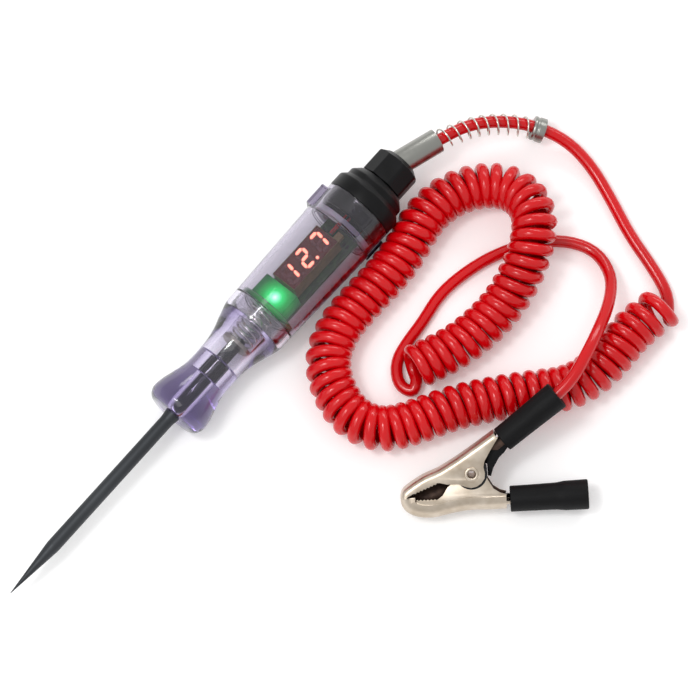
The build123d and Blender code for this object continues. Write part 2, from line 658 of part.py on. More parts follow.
def make_upper_lever():
    place = (UPPER_TANG_START, UPPER_TANG_ANGLE, UPPER_TANG_LENGTH)
    return lever(UPPER_OUTLINE, UPPER_WIDTH, (0.59, -0.81), place, False)


def make_lower_lever():
    place = (LOWER_TANG_START, LOWER_TANG_ANGLE, LOWER_TANG_LENGTH)
    return lever(LOWER_OUTLINE, LOWER_WIDTH, (0, 1), place, True)


def make_rivet():
    length = UPPER_WIDTH + 2 * RIVET_HEAD
    heads = across(Circle(RIVET_HEAD_R), length) - across(Circle(RIVET_HEAD_R + 1), UPPER_WIDTH)
    return across(Circle(RIVET_R), length) + heads - across(Circle(RIVET_BORE), length + 2)


def make_clip_spring():
    length = CLIP_TURNS * (CLIP_WIRE + GAP) + CLIP_WIRE
    coil = Pos(0, 0, -length / 2) * coil_spring(CLIP_COIL_R, CLIP_WIRE, CLIP_TURNS, length)
    legs = []
    leg = Rot(0, 90, 0) * Cylinder(CLIP_WIRE / 2, CLIP_LEG, align=(Align.CENTER, Align.CENTER, Align.MIN))
    for angle, side in zip(CLIP_LEG_ANGLES, (1, -1)):
        legs.append(Rot(0, 0, angle) * Pos(0, side * CLIP_COIL_R, side * (length / 2 - CLIP_WIRE)) * leg)
    return coil + legs[0] + legs[1]


def sleeve(start, length, radii, hole):
    """Vinyl tube over a tang, with an end wall that has a hole for the cord, or none."""
    r0, r1 = radii
    shell = turned([(0, r0), (length, r1)])
    shell -= turned([(-1, r0 - SLEEVE_WALL), (length - SLEEVE_WALL, r1 - SLEEVE_WALL)])
    if hole:
        shell -= rod(0, length + 1, hole)
    return Pos(start, 0, 0) * shell


UPPER_TANG = Pos(*UPPER_TANG_START) * Rot(0, 0, UPPER_TANG_ANGLE)
LOWER_TANG = Pos(*LOWER_TANG_START) * Rot(0, 0, LOWER_TANG_ANGLE)
CORD_HOLE_R = CORD_D / 2 + SEAT_GAP
CRIMP_R = CORD_D / 2 + CRIMP_WALL
CRIMP_END = UPPER_TANG_LENGTH + CRIMP_LENGTH
clip = {
    "clip_upper_lever": make_upper_lever(),
    "clip_lower_lever": make_lower_lever(),
    "clip_rivet": make_rivet(),
    "clip_spring": make_clip_spring(),
    "upper_sleeve": UPPER_TANG * sleeve(UPPER_SLEEVE_FROM, UPPER_SLEEVE_LENGTH, UPPER_SLEEVE_R, CORD_HOLE_R),
    "lower_sleeve": LOWER_TANG * sleeve(LOWER_SLEEVE_FROM, LOWER_SLEEVE_LENGTH, LOWER_SLEEVE_R, 0),
    "cord_crimp": UPPER_TANG * rod(UPPER_TANG_LENGTH, CRIMP_END, CRIMP_R),
}
parts.update({name: CLIP * shape for name, shape in clip.items()})


# ---- cord -----------------------------------------------------------------------------
mouth = FERRULE * Pos(FERRULE_LENGTH + LEAD_OUT, 0, 0)
lead_points = [FERRULE.position, mouth.position, *LEAD]
crimp_end = CLIP * UPPER_TANG * Pos(CRIMP_END, 0, 0)
sleeve_out = CLIP * UPPER_TANG * Pos(UPPER_SLEEVE_FROM + UPPER_SLEEVE_LENGTH + TAIL_OUT, 0, 0)
tail_points = [*TAIL, sleeve_out.position, crimp_end.position]
for name, points, diameter in (
    ("lead_cord", lead_points, CORD_D), ("curly_cord", COIL, COIL_D), ("tail_cord", tail_points, CORD_D),
):
    parts[name] = tube(points, diameter)
    report_cord(name, points, diameter, parts[name])
lead_line, _ = cord_line(lead_points)
parts["relief_spring"] = make_relief_spring(lead_line)
parts["spring_collar"] = make_spring_collar(lead_line)
print("middle of the probe's straight part", (lay * tilt * Pos(50, 0, 0)).position)
print("ferrule mouth", (FERRULE * Pos(FERRULE_LENGTH, 0, 0)).position, "cord leaves along", mouth.position)
print("sleeve", sleeve_out.position, "crimp", crimp_end.position)

os.makedirs("parts", exist_ok=True)
for name, shape in parts.items():
    export_step(shape, f"parts/{name}.step")
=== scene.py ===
from math import atan2, cos, pi, radians, sin

import bpy
from mathutils import Matrix, Vector
from mathutils.geometry import tessellate_polygon


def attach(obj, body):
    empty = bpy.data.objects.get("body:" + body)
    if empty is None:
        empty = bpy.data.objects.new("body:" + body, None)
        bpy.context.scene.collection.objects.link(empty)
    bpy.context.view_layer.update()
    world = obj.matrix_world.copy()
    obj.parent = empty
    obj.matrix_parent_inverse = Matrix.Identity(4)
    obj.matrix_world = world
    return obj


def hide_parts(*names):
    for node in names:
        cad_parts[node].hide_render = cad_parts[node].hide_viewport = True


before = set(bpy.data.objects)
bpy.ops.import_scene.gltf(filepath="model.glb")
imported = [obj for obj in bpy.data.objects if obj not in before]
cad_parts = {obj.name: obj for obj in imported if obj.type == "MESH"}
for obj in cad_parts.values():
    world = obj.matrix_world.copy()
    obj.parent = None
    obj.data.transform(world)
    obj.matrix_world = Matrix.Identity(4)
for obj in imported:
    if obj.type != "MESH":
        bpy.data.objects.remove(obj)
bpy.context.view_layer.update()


# ---- probe: the steel rod of the test light --------------------------------------------
# Hardened steel rod, ground to a long point, with a swaged swelling where it enters the nose.
# It is burnished dark and held in the clear nose by the swelling and a retainer behind it.
MM = 0.001


def linear(hex_code):
    """The linear colour of an sRGB hex value."""
    shares = [int(hex_code[i:i + 2], 16) / 255 for i in (1, 3, 5)]
    return (*(c / 12.92 if c < 0.0405 else ((c + 0.055) / 1.055) ** 2.4 for c in shares), 1)


def add_node(tree, kind, inputs=None, stops=(), **settings):
    """Adds a node. An input given a node or a socket is linked, and any other value is set. Stops
    are a ramp's places from 0 to 1, each with its colour."""
    node = tree.nodes.new(kind)
    for name, value in settings.items():
        setattr(node, name, value)
    for name, value in (inputs or {}).items():
        if isinstance(value, bpy.types.Node):
            value = value.outputs[0]
        if isinstance(value, bpy.types.NodeSocket):
            tree.links.new(value, node.inputs[name])
        else:
            node.inputs[name].default_value = value
    for i, (place, shade) in enumerate(stops):
        element = node.color_ramp.elements[i] if i < 2 else node.color_ramp.elements.new(place)
        element.position, element.color = place, linear(shade)
    return node


def new_material(name):
    """A material with no nodes yet, and its node tree."""
    made = bpy.data.materials.new(name)
    made.use_nodes = True
    made.node_tree.nodes.clear()
    return made, made.node_tree


def per(size_mm):
    """The scale that makes a pattern repeat at a size in millimetres."""
    return 1 / (MM * size_mm)


def softened(outline, radius, steps=3):
    """An outline with its corners rounded; points are (x, y) and the two ends stay."""
    made = [outline[0]]
    for before, here, after in zip(outline, outline[1:], outline[2:]):
        a, p, b = Vector(before), Vector(here), Vector(after)
        cut = min(radius, 0.45 * (a - p).length, 0.45 * (b - p).length)
        start, end = p + (a - p).normalized() * cut, p + (b - p).normalized() * cut
        for i in range(steps + 1):
            t = i / steps
            made.append(tuple(start * (1 - t) ** 2 + p * (2 * t * (1 - t)) + end * t ** 2))
    return made + [outline[-1]]


def new_piece(name, points, faces, body, material, place=Matrix.Identity(4), sharp=35, flip=False):
    """A mesh piece from points in millimetres; edges sharper than the angle stay crisp."""
    mesh = bpy.data.meshes.new(name)
    mesh.from_pydata([MM * Vector(p) for p in points], [], faces)
    if flip:
        mesh.flip_normals()
    mesh.shade_smooth()
    mesh.set_sharp_from_angle(angle=radians(sharp))
    mesh.materials.append(material)
    made = bpy.data.objects.new(name, mesh)
    bpy.context.scene.collection.objects.link(made)
    made.matrix_world = place
    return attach(made, body)


def turned(name, outline, body, material, place=Matrix.Identity(4), columns=128, ring=False, sharp=35):
    """A piece turned about x from its (s, r) outline, or from (s, r, shape) where shape(angle, r)
    gives the radius that is wanted at each angle. A ring's outline joins its own start."""
    points, rows = [], []
    for s, r, *shape in outline:
        if r < 1e-6:
            rows.append([len(points)])
            points.append((s, 0, 0))
            continue
        rows.append(list(range(len(points), len(points) + columns)))
        for j in range(columns):
            angle = 2 * pi * j / columns
            far = shape[0](angle, r) if shape else r
            points.append((s, far * sin(angle), far * cos(angle)))
    faces = []
    for first, second in zip(rows, rows[1:] + (rows[:1] if ring else [])):
        for j in range(columns):
            k = (j + 1) % columns
            if len(first) == 1 and len(second) == 1:
                break
            if len(first) == 1:
                faces.append((first[0], second[j], second[k]))
            elif len(second) == 1:
                faces.append((first[j], second[0], first[k]))
            else:
                faces.append((first[j], second[j], second[k], first[k]))
    area = sum((b[0] - a[0]) * (a[1] + b[1]) for a, b in zip(outline, outline[1:] + outline[:1]))
    return new_piece(name, points, faces, body, material, place, sharp, flip=area < 0)


# The tester lies on the flare of its nose and the rear edge of its barrel, so its axis rises.
AXIS_START = Vector((-106.779, -0.55, 9.041))
AXIS_RISE = atan2(13.3 - 11.2, 166.4 - 85.0)
TESTER = Matrix.Translation(MM * AXIS_START) @ Matrix.Rotation(-AXIS_RISE, 4, "Y")
ROD_R = 2.4
POINT_LENGTH = 21.2
NOSE_FRONT = 81.5
COLLET_R = 2.8
COLLET_LENGTH = 2.6
SEAT_S = 113.4
SEAT_LENGTH = 1.6
ROD_END = SEAT_S + SEAT_LENGTH + 2.2

# Burnished gunmetal steel: dark and satin, with fine marks along the rod from grinding and
# slightly lighter and darker patches along it.
GRINDING_MARK = 0.35     # across the rod; along it the marks are 14 times as long
gunmetal, tree = new_material("burnished_gunmetal_steel")
spot = add_node(tree, "ShaderNodeTexCoord").outputs["Object"]
along_rod = [per(GRINDING_MARK * 14), per(GRINDING_MARK), per(GRINDING_MARK)]
lines_at = add_node(tree, "ShaderNodeMapping", {"Vector": spot, "Scale": along_rod})
marks = add_node(tree, "ShaderNodeTexNoise", {"Vector": lines_at, "Scale": 1.0, "Detail": 3})
patches_at = add_node(tree, "ShaderNodeMapping", {"Vector": spot, "Scale": [per(27.0), per(9.0), per(9.0)]})
patches = add_node(tree, "ShaderNodeTexNoise", {"Vector": patches_at, "Scale": 1.0})
shade = add_node(tree, "ShaderNodeMix", {
    0: patches, 6: linear("#2f3134"), 7: linear("#45484b"),
}, data_type="RGBA")
steel = add_node(tree, "ShaderNodeBsdfPrincipled", {
    "Base Color": shade.outputs[2], "Metallic": 0.75,
    "Roughness": add_node(tree, "ShaderNodeMapRange", {"Value": marks, "To Min": 0.38, "To Max": 0.6}),
    "Normal": add_node(tree, "ShaderNodeBump", {"Height": marks, "Distance": MM * 0.02, "Strength": 0.6}),
})
add_node(tree, "ShaderNodeOutputMaterial", {"Surface": steel})

probe_outline = softened([
    (0, 0), (0.06, 0.12), (POINT_LENGTH, ROD_R), (NOSE_FRONT - COLLET_LENGTH, ROD_R),
    (NOSE_FRONT, COLLET_R),
    (NOSE_FRONT + COLLET_LENGTH, COLLET_R), (NOSE_FRONT + COLLET_LENGTH, ROD_R), (ROD_END, ROD_R),
    (ROD_END, 0),
], 0.5)
probe = turned("probe_rod", probe_outline, "root", gunmetal, TESTER, columns=64)
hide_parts("probe")


# ---- retainer and seat inside the nose ---------------------------------------------------
# A black oxidised steel clip with two wings grips the rod, and a turned brass seat behind it,
# dulled by a thin nickel plate, carries the contact spring.
def refinish(node, material, edge_mm=0.0, swell_mm=0.0):
    """Gives a CAD piece its material and, where wanted, small radii on its edges or a fuller form."""
    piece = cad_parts[node]
    for place in piece.material_slots:
        place.material = material
    if edge_mm:
        piece.modifiers.new("joined", "WELD").merge_threshold = MM * 0.001
        edge = piece.modifiers.new("edge", "BEVEL")
        edge.width, edge.segments, edge.limit_method = MM * edge_mm, 2, "ANGLE"
        edge.angle_limit, edge.harden_normals = radians(40), True
    if swell_mm:
        fuller = piece.modifiers.new("fuller", "DISPLACE")
        fuller.strength, fuller.mid_level = MM * swell_mm, 0.0


# Black oxide on steel: a thin dark skin that still shines a little, with a fine uneven grain.
black_oxide, tree = new_material("black_oxide_steel")
spot = add_node(tree, "ShaderNodeTexCoord").outputs["Object"]
skin = add_node(tree, "ShaderNodeTexNoise", {"Vector": spot, "Scale": per(0.6)})
oxide = add_node(tree, "ShaderNodeBsdfPrincipled", {
    "Base Color": linear("#17171a"), "Metallic": 0.5,
    "Roughness": add_node(tree, "ShaderNodeMapRange", {"Value": skin, "To Min": 0.3, "To Max": 0.5}),
})
add_node(tree, "ShaderNodeOutputMaterial", {"Surface": oxide})
refinish("probe_retainer", black_oxide, edge_mm=0.25)

# Thin nickel over turned brass: pale and warm, with fine turning lines round it.
TURNING_LINE = 0.3
plated_brass, tree = new_material("nickel_plated_brass")
spot = add_node(tree, "ShaderNodeTexCoord").outputs["Object"]
round_seat = [per(TURNING_LINE), per(TURNING_LINE * 30), per(TURNING_LINE * 30)]
lines_at = add_node(tree, "ShaderNodeMapping", {"Vector": spot, "Scale": round_seat})
lines = add_node(tree, "ShaderNodeTexNoise", {"Vector": lines_at, "Scale": 1.0})
plate = add_node(tree, "ShaderNodeBsdfPrincipled", {
    "Base Color": linear("#a9a594"), "Metallic": 1.0,
    "Roughness": add_node(tree, "ShaderNodeMapRange", {"Value": lines, "To Min": 0.22, "To Max": 0.42}),
    "Normal": add_node(tree, "ShaderNodeBump", {"Height": lines, "Distance": MM * 0.015}),
})
add_node(tree, "ShaderNodeOutputMaterial", {"Surface": plate})
refinish("spring_seat", plated_brass, edge_mm=0.15)


# ---- nose: violet-tinted clear plastic ---------------------------------------------------
# Injection-moulded polycarbonate, solid round the rod in front and hollow behind, where the
# contact spring sits. It is glued to the barrel at the joint line.
FLARE_S = 85.0
FLARE_R = 11.2
WAIST_S = (99.5, 105.5)
CORNER_S = 122.4
JOINT_S = 128.0
JOINT_R = 12.3
CHAMBER_R = 4.0
CHAMBER_END = 105.6
CAVITY_R = 5.6
SOCKET_R = 10.65
SOCKET_S = 122.05


def flowing(points, steps=6):
    """A smooth line through points."""
    ends = [points[0], *points, points[-1]]
    made = []
    for a, b, c, d in zip(ends, ends[1:], ends[2:], ends[3:]):
        a, b, c, d = Vector(a), Vector(b), Vector(c), Vector(d)
        for i in range(steps):
            t = i / steps
            made.append(tuple(0.5 * (
                2 * b + (c - a) * t + (2 * a - 5 * b + 4 * c - d) * t ** 2 + (3 * b - a - 3 * c + d) * t ** 3
            )))
    return made + [points[-1]]


def clear_plastic(name, tint, density):
    """Clear moulded plastic: glossy, with faint flow ripples, and its tint deepens with thickness."""
    made, tree = new_material(name)
    spot = add_node(tree, "ShaderNodeTexCoord").outputs["Object"]
    flow_at = add_node(tree, "ShaderNodeMapping", {"Vector": spot, "Scale": [per(14.0), per(7.0), per(7.0)]})
    ripple = add_node(tree, "ShaderNodeTexNoise", {"Vector": flow_at, "Scale": 1.0, "Detail": 1})
    wavy = add_node(tree, "ShaderNodeBump", {"Height": ripple, "Distance": MM * 0.25, "Strength": 0.35})
    skin = add_node(tree, "ShaderNodeBsdfPrincipled", {
        "Base Color": linear("#ffffff"), "Roughness": 0.02, "IOR": 1.58, "Transmission Weight": 1.0,
        "Normal": wavy,
    })
    inside = add_node(tree, "ShaderNodeVolumeAbsorption", {"Color": linear(tint), "Density": density})
    add_node(tree, "ShaderNodeOutputMaterial", {"Surface": skin, "Volume": inside})
    return made


# Violet-tinted polycarbonate: pale where it is thin and a clear violet where it is solid.
violet_polycarbonate = clear_plastic("violet_tinted_polycarbonate", "#7f50b8", 78.0)
nose_outside = [
    (81.5, 8.9), (82.0, 9.75), (83.0, 10.55), (FLARE_S, FLARE_R), (88.5, 10.75), (92.25, 9.72),
    (96.0, 8.7),
    (WAIST_S[0], 8.2), (WAIST_S[1], 8.15), (109.5, 8.5), (113.0, 9.2), (116.0, 10.15), (118.6, 11.0),
    (CORNER_S, 12.15), (124.6, 12.25), (JOINT_S - 0.02, JOINT_R),
]
nose_inside = softened([
    (JOINT_S - 0.02, JOINT_R), (JOINT_S - 0.02, SOCKET_R), (SOCKET_S, SOCKET_R), (SOCKET_S, CAVITY_R),
    (CHAMBER_END, CAVITY_R), (CHAMBER_END, CHAMBER_R), (97.95, CHAMBER_R), (97.95, ROD_R + 0.05),
    (84.15, ROD_R + 0.05), (84.15, COLLET_R + 0.05), (NOSE_FRONT, COLLET_R + 0.05), (NOSE_FRONT, 8.9),
], 0.3)
nose_outline = flowing(nose_outside) + nose_inside[1:-1]
nose = turned("clear_nose", nose_outline, "root", violet_polycarbonate, TESTER, 160, True)
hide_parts("nose_cone")


# ---- contact spring and plate --------------------------------------------------------------
# A light spring of bright nickel-plated wire presses the rod's seat onto the clear contact
# plate at the front of the barrel, and carries the current to the board.
CONTACT_WIRE = 0.8
CONTACT_R = 5.15 - CONTACT_WIRE / 2
CONTACT_TURNS = 5.5
PLATE_S = JOINT_S + 0.5
PLATE_LENGTH = 1.8
PLATE_R = 10.7


def wire_curve(name, points, diameter, body, material, place=Matrix.Identity(4), order=4, smooth=3):
    """A round wire or cord along points in millimetres, as one smooth curve."""
    curve = bpy.data.curves.new(name, "CURVE")
    curve.dimensions, curve.bevel_depth, curve.bevel_resolution = "3D", MM * diameter / 2, 4
    curve.resolution_u, curve.use_fill_caps = smooth, True
    spline = curve.splines.new("NURBS")
    spline.points.add(len(points) - 1)
    for spot, point in zip(spline.points, points):
        spot.co = (*(MM * Vector(point)), 1)
    spline.order_u, spline.use_endpoint_u = order, True
    curve.materials.append(material)
    made = bpy.data.objects.new(name, curve)
    bpy.context.scene.collection.objects.link(made)
    made.matrix_world = place
    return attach(made, body)


# Bright nickel on spring wire: a clean mirror with a slightly warm grey.
nickel_wire, tree = new_material("bright_nickel_wire")
spot = add_node(tree, "ShaderNodeTexCoord").outputs["Object"]
skin = add_node(tree, "ShaderNodeTexNoise", {"Vector": spot, "Scale": per(0.5)})
wire_plate = add_node(tree, "ShaderNodeBsdfPrincipled", {
    "Base Color": linear("#cfccc4"), "Metallic": 1.0,
    "Roughness": add_node(tree, "ShaderNodeMapRange", {"Value": skin, "To Min": 0.14, "To Max": 0.3}),
})
add_node(tree, "ShaderNodeOutputMaterial", {"Surface": wire_plate})

spring_from, spring_to = SEAT_S + SEAT_LENGTH + 0.45, PLATE_S - 0.45
steps = int(CONTACT_TURNS * 16)
contact_points = []
for i in range(steps + 1):
    turn = 2 * pi * i / 16
    s = spring_from + (spring_to - spring_from) * i / steps
    contact_points.append((s, CONTACT_R * sin(turn), CONTACT_R * cos(turn)))
contact_spring = wire_curve("contact_spring_wire", contact_points, CONTACT_WIRE, "root", nickel_wire, TESTER)
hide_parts("contact_spring")

# Green-tinted acrylic: nearly clear through its face and greener through its edge.
green_edge_acrylic = clear_plastic("green_edged_acrylic", "#6fd08a", 60.0)
plate_outline = softened([
    (PLATE_S, 0), (PLATE_S, PLATE_R), (PLATE_S + PLATE_LENGTH, PLATE_R), (PLATE_S + PLATE_LENGTH, 0),
], 0.3)
contact_plate = turned("contact_disc", plate_outline, "root", green_edge_acrylic, TESTER)
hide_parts("contact_plate")


# ---- barrel: violet-tinted clear tube with a collar ----------------------------------------
# Moulded in one piece with a spigot that plugs into the nose and a collar with three lugs that
# key the black end cap, so that the cap fits one way.
WALL = 1.5
REAR_S = 166.4
REAR_R = 13.3
COLLAR_R = 12.8
COLLAR_END = 176.4
COLLAR_BORE = COLLAR_R - WALL
SPIGOT_R = 10.6
SPIGOT_BORE = 9.2
SPIGOT_LENGTH = 5.9
LUG_LENGTH = 8.4
LUG_TOP = COLLAR_R + 1.6
LUG_HALF = 3.7
LUG_ANGLES = (90.0, -20.0, 225.0)


def lugged(angle, r):
    """The collar's radius, with a flat-topped lug at each of the lug angles."""
    for lug in LUG_ANGLES:
        away = (angle - radians(lug) + pi) % (2 * pi) - pi
        if abs(away) < pi / 4 and abs(LUG_TOP * sin(away)) < LUG_HALF:
            return LUG_TOP / cos(away)
    return r


def barrel_r(s):
    return JOINT_R + (REAR_R - JOINT_R) * (s - JOINT_S) / (REAR_S - JOINT_S)


# The barrel's polycarbonate is smokier than the nose's, and its tint is stronger.
smoky_polycarbonate = clear_plastic("smoky_violet_polycarbonate", "#7d5c9e", 215.0)

lug_end = REAR_S + LUG_LENGTH
barrel_outline = softened([
    (JOINT_S - SPIGOT_LENGTH, SPIGOT_BORE + 0.7), (JOINT_S - SPIGOT_LENGTH, SPIGOT_R),
    (JOINT_S + 0.02, SPIGOT_R),
    (JOINT_S + 0.02, JOINT_R), (REAR_S, REAR_R), (REAR_S, COLLAR_R),
], 0.35)
barrel_outline += [(REAR_S + 0.01, COLLAR_R + 0.01, lugged), (lug_end - 0.3, COLLAR_R + 0.01, lugged)]
barrel_outline += [(lug_end, COLLAR_R)]
barrel_outline += softened([
    (lug_end + 0.2, COLLAR_R), (COLLAR_END, COLLAR_R), (COLLAR_END, COLLAR_BORE),
    (REAR_S - 1, COLLAR_BORE),
    (REAR_S - 1, barrel_r(REAR_S - 1) - WALL), (PLATE_S, barrel_r(PLATE_S) - WALL), (PLATE_S, SPIGOT_BORE),
    (JOINT_S - SPIGOT_LENGTH, SPIGOT_BORE), (JOINT_S - SPIGOT_LENGTH, SPIGOT_BORE + 0.7),
], 0.3)[:-1]
barrel = turned("clear_barrel", barrel_outline, "root", smoky_polycarbonate, TESTER, 240, True)
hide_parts("barrel")


# ---- board and its parts inside the barrel -------------------------------------------------
# A green-laminate circuit board stands in a moulded ring at the rear. It carries the volt
# display, two light-emitting diodes under a green light guide, and small surface parts.
ROLL = 15.0
ROLLED = TESTER @ Matrix.Rotation(radians(-ROLL), 4, "X")
BOARD_S = PLATE_S + PLATE_LENGTH
BOARD_TOP = -2.2
GUIDE_LENGTH = 8.6
GUIDE_TOP = BOARD_TOP + 6.8
GLOW_REACH = 9.0

# Glass-epoxy laminate under a green solder mask: glossy, with slightly lighter tracks.
laminate, tree = new_material("green_glass_epoxy_laminate")
spot = add_node(tree, "ShaderNodeTexCoord").outputs["Object"]
tracks_at = add_node(tree, "ShaderNodeMapping", {"Vector": spot, "Scale": [per(4.8), per(1.6), per(1.6)]})
tracks = add_node(tree, "ShaderNodeTexNoise", {"Vector": tracks_at, "Scale": 1.0, "Detail": 0})
mask = add_node(tree, "ShaderNodeBsdfPrincipled", {
    "Base Color": add_node(tree, "ShaderNodeValToRGB", {"Fac": tracks}, stops=(
        (0.44, "#1f3f1c"), (0.5, "#35602c"), (0.58, "#264a20"),
    )),
    "Roughness": 0.35, "Coat Weight": 0.4, "Coat Roughness": 0.1,
})
add_node(tree, "ShaderNodeOutputMaterial", {"Surface": mask})
refinish("circuit_board", laminate)

# Milky moulded plastic that scatters a little light.
milky_abs, tree = new_material("milky_moulded_plastic")
spot = add_node(tree, "ShaderNodeTexCoord").outputs["Object"]
haze = add_node(tree, "ShaderNodeTexNoise", {"Vector": spot, "Scale": per(1.5)})
milk = add_node(tree, "ShaderNodeBsdfPrincipled", {
    "Base Color": linear("#d9d2dd"),
    "Roughness": add_node(tree, "ShaderNodeMapRange", {"Value": haze, "To Min": 0.3, "To Max": 0.45}),
    "Subsurface Weight": 0.2, "Subsurface Scale": MM,
})
add_node(tree, "ShaderNodeOutputMaterial", {"Surface": milk})
refinish("board_ring", milky_abs, edge_mm=0.2)

# The display's case is potted in cloudy tan resin.
display_case, tree = new_material("tan_potted_display_case")
spot = add_node(tree, "ShaderNodeTexCoord").outputs["Object"]
resin = add_node(tree, "ShaderNodeTexNoise", {"Vector": spot, "Scale": per(2.0)})
shade = add_node(tree, "ShaderNodeValToRGB", {"Fac": resin}, stops=((0.3, "#6f5a30"), (0.7, "#8a7240")))
potting = add_node(tree, "ShaderNodeBsdfPrincipled", {
    "Base Color": shade,
    "Roughness": 0.4,
})
add_node(tree, "ShaderNodeOutputMaterial", {"Surface": potting})
refinish("display_housing", display_case, edge_mm=0.15)

# Dark red filter sheet over the digits, with a faint red glow.
red_filter, tree = new_material("dark_red_display_filter")
spot = add_node(tree, "ShaderNodeTexCoord").outputs["Object"]
cloud = add_node(tree, "ShaderNodeTexNoise", {"Vector": spot, "Scale": per(4.0), "Detail": 1})
shade = add_node(tree, "ShaderNodeValToRGB", {"Fac": cloud}, stops=((0.3, "#310a0c"), (0.7, "#4a1113")))
sheet = add_node(tree, "ShaderNodeBsdfPrincipled", {
    "Base Color": shade,
    "Roughness": 0.2, "Emission Color": linear("#5c1210"), "Emission Strength": 0.45,
})
add_node(tree, "ShaderNodeOutputMaterial", {"Surface": sheet})
refinish("display_face", red_filter)

# A lit segment glows salmon, and an unlit one is dull red.
lit_segment, tree = new_material("lit_display_segment")
lit = add_node(tree, "ShaderNodeBsdfPrincipled", {
    "Base Color": linear("#ff9a86"), "Roughness": 0.4, "Emission Color": linear("#ff8d74"),
    "Emission Strength": 2.6,
})
add_node(tree, "ShaderNodeOutputMaterial", {"Surface": lit})
refinish("lit_segments", lit_segment, swell_mm=0.1)

dark_segment, tree = new_material("unlit_display_segment")
dull = add_node(tree, "ShaderNodeBsdfPrincipled", {"Base Color": linear("#6e3238"), "Roughness": 0.4})
add_node(tree, "ShaderNodeOutputMaterial", {"Surface": dull})
refinish("unlit_segments", dark_segment)

# Tinned wire: bright grey and slightly uneven.
tinned, tree = new_material("tinned_pins")
spot = add_node(tree, "ShaderNodeTexCoord").outputs["Object"]
skin = add_node(tree, "ShaderNodeTexNoise", {"Vector": spot, "Scale": per(0.4)})
tin = add_node(tree, "ShaderNodeBsdfPrincipled", {
    "Base Color": linear("#c8c8c4"), "Metallic": 1.0,
    "Roughness": add_node(tree, "ShaderNodeMapRange", {"Value": skin, "To Min": 0.25, "To Max": 0.5}),
})
add_node(tree, "ShaderNodeOutputMaterial", {"Surface": tin})
refinish("display_pins", tinned)

# The green guide glows from the diode inside it: near white over the diode, then vivid green,
# and dark green at the far side.
glowing_guide, tree = new_material("lit_green_acrylic_guide")
led_at = ROLLED @ (MM * Vector((BOARD_S + GUIDE_LENGTH / 2 - 0.6, -1.2, GUIDE_TOP)))
spot = add_node(tree, "ShaderNodeTexCoord").outputs["Object"]
reach = add_node(tree, "ShaderNodeVectorMath", {0: spot, 1: led_at}, operation="DISTANCE")
near = add_node(tree, "ShaderNodeMapRange", {"Value": reach.outputs["Value"], "From Max": MM * GLOW_REACH})
glow = add_node(tree, "ShaderNodeValToRGB", {"Fac": near}, stops=(
    (0.0, "#f2fffa"), (0.14, "#8affcc"), (0.28, "#10da6e"), (0.5, "#029c42"), (0.75, "#02642c"),
    (1.0, "#023a1c"),
))
acrylic = add_node(tree, "ShaderNodeBsdfPrincipled", {
    "Base Color": linear("#033015"), "Roughness": 0.3, "Emission Color": glow, "Emission Strength": 1.45,
})
add_node(tree, "ShaderNodeOutputMaterial", {"Surface": acrylic})
refinish("light_guide", glowing_guide, edge_mm=0.3)

# The lit diode's green epoxy lens is the brightest thing on the board; the other is clear and off.
led_lens, tree = new_material("lit_diode_lens")
lens = add_node(tree, "ShaderNodeBsdfPrincipled", {
    "Base Color": linear("#b8ffd8"), "Emission Color": linear("#4dff9c"), "Emission Strength": 6.0,
})
add_node(tree, "ShaderNodeOutputMaterial", {"Surface": lens})
refinish("green_led", led_lens)

dark_lens, tree = new_material("unlit_diode_lens")
lens = add_node(tree, "ShaderNodeBsdfPrincipled", {
    "Base Color": linear("#e8d8d8"), "Roughness": 0.1, "Transmission Weight": 0.6,
})
add_node(tree, "ShaderNodeOutputMaterial", {"Surface": lens})
refinish("red_led", dark_lens)

# Moulded epoxy on the chips is black and matt; the capacitor's ceramic is tan and mottled.
epoxy, tree = new_material("black_chip_epoxy")
spot = add_node(tree, "ShaderNodeTexCoord").outputs["Object"]
filler = add_node(tree, "ShaderNodeTexNoise", {"Vector": spot, "Scale": per(0.2)})
moulded = add_node(tree, "ShaderNodeBsdfPrincipled", {
    "Base Color": linear("#1b1b1d"),
    "Roughness": add_node(tree, "ShaderNodeMapRange", {"Value": filler, "To Min": 0.5, "To Max": 0.75}),
})
add_node(tree, "ShaderNodeOutputMaterial", {"Surface": moulded})
refinish("control_chip", epoxy, edge_mm=0.15)
refinish("chip_resistors", epoxy, edge_mm=0.08)

ceramic, tree = new_material("tan_chip_ceramic")
spot = add_node(tree, "ShaderNodeTexCoord").outputs["Object"]
mottle = add_node(tree, "ShaderNodeTexNoise", {"Vector": spot, "Scale": per(0.5)})
shade = add_node(tree, "ShaderNodeValToRGB", {"Fac": mottle}, stops=((0.3, "#a88a5e"), (0.7, "#c2a577")))
fired = add_node(tree, "ShaderNodeBsdfPrincipled", {
    "Base Color": shade,
    "Roughness": 0.4,
})
add_node(tree, "ShaderNodeOutputMaterial", {"Surface": fired})
refinish("capacitor", ceramic, edge_mm=0.1)


# ---- end cap and gland nut: black moulded plastic ------------------------------------------
# The cap plugs into the barrel's collar, and an eight-sided gland nut screws into it to hold
# the metal cord ferrule. Both are satin black ABS.
CAP_STEP_R = 11.0
CAP_NECK_R = 8.6
CAP_END = COLLAR_END + 11.3
FLANGE_END = COLLAR_END + 5.1
NUT_END = CAP_END + 10.9
NUT_SIDES = 8
NUT_CORNER_R = 8.5
NUT_MOUTH_R = 5.5
THREAD_R = 5.6
THREAD_END = CAP_END - 2.7

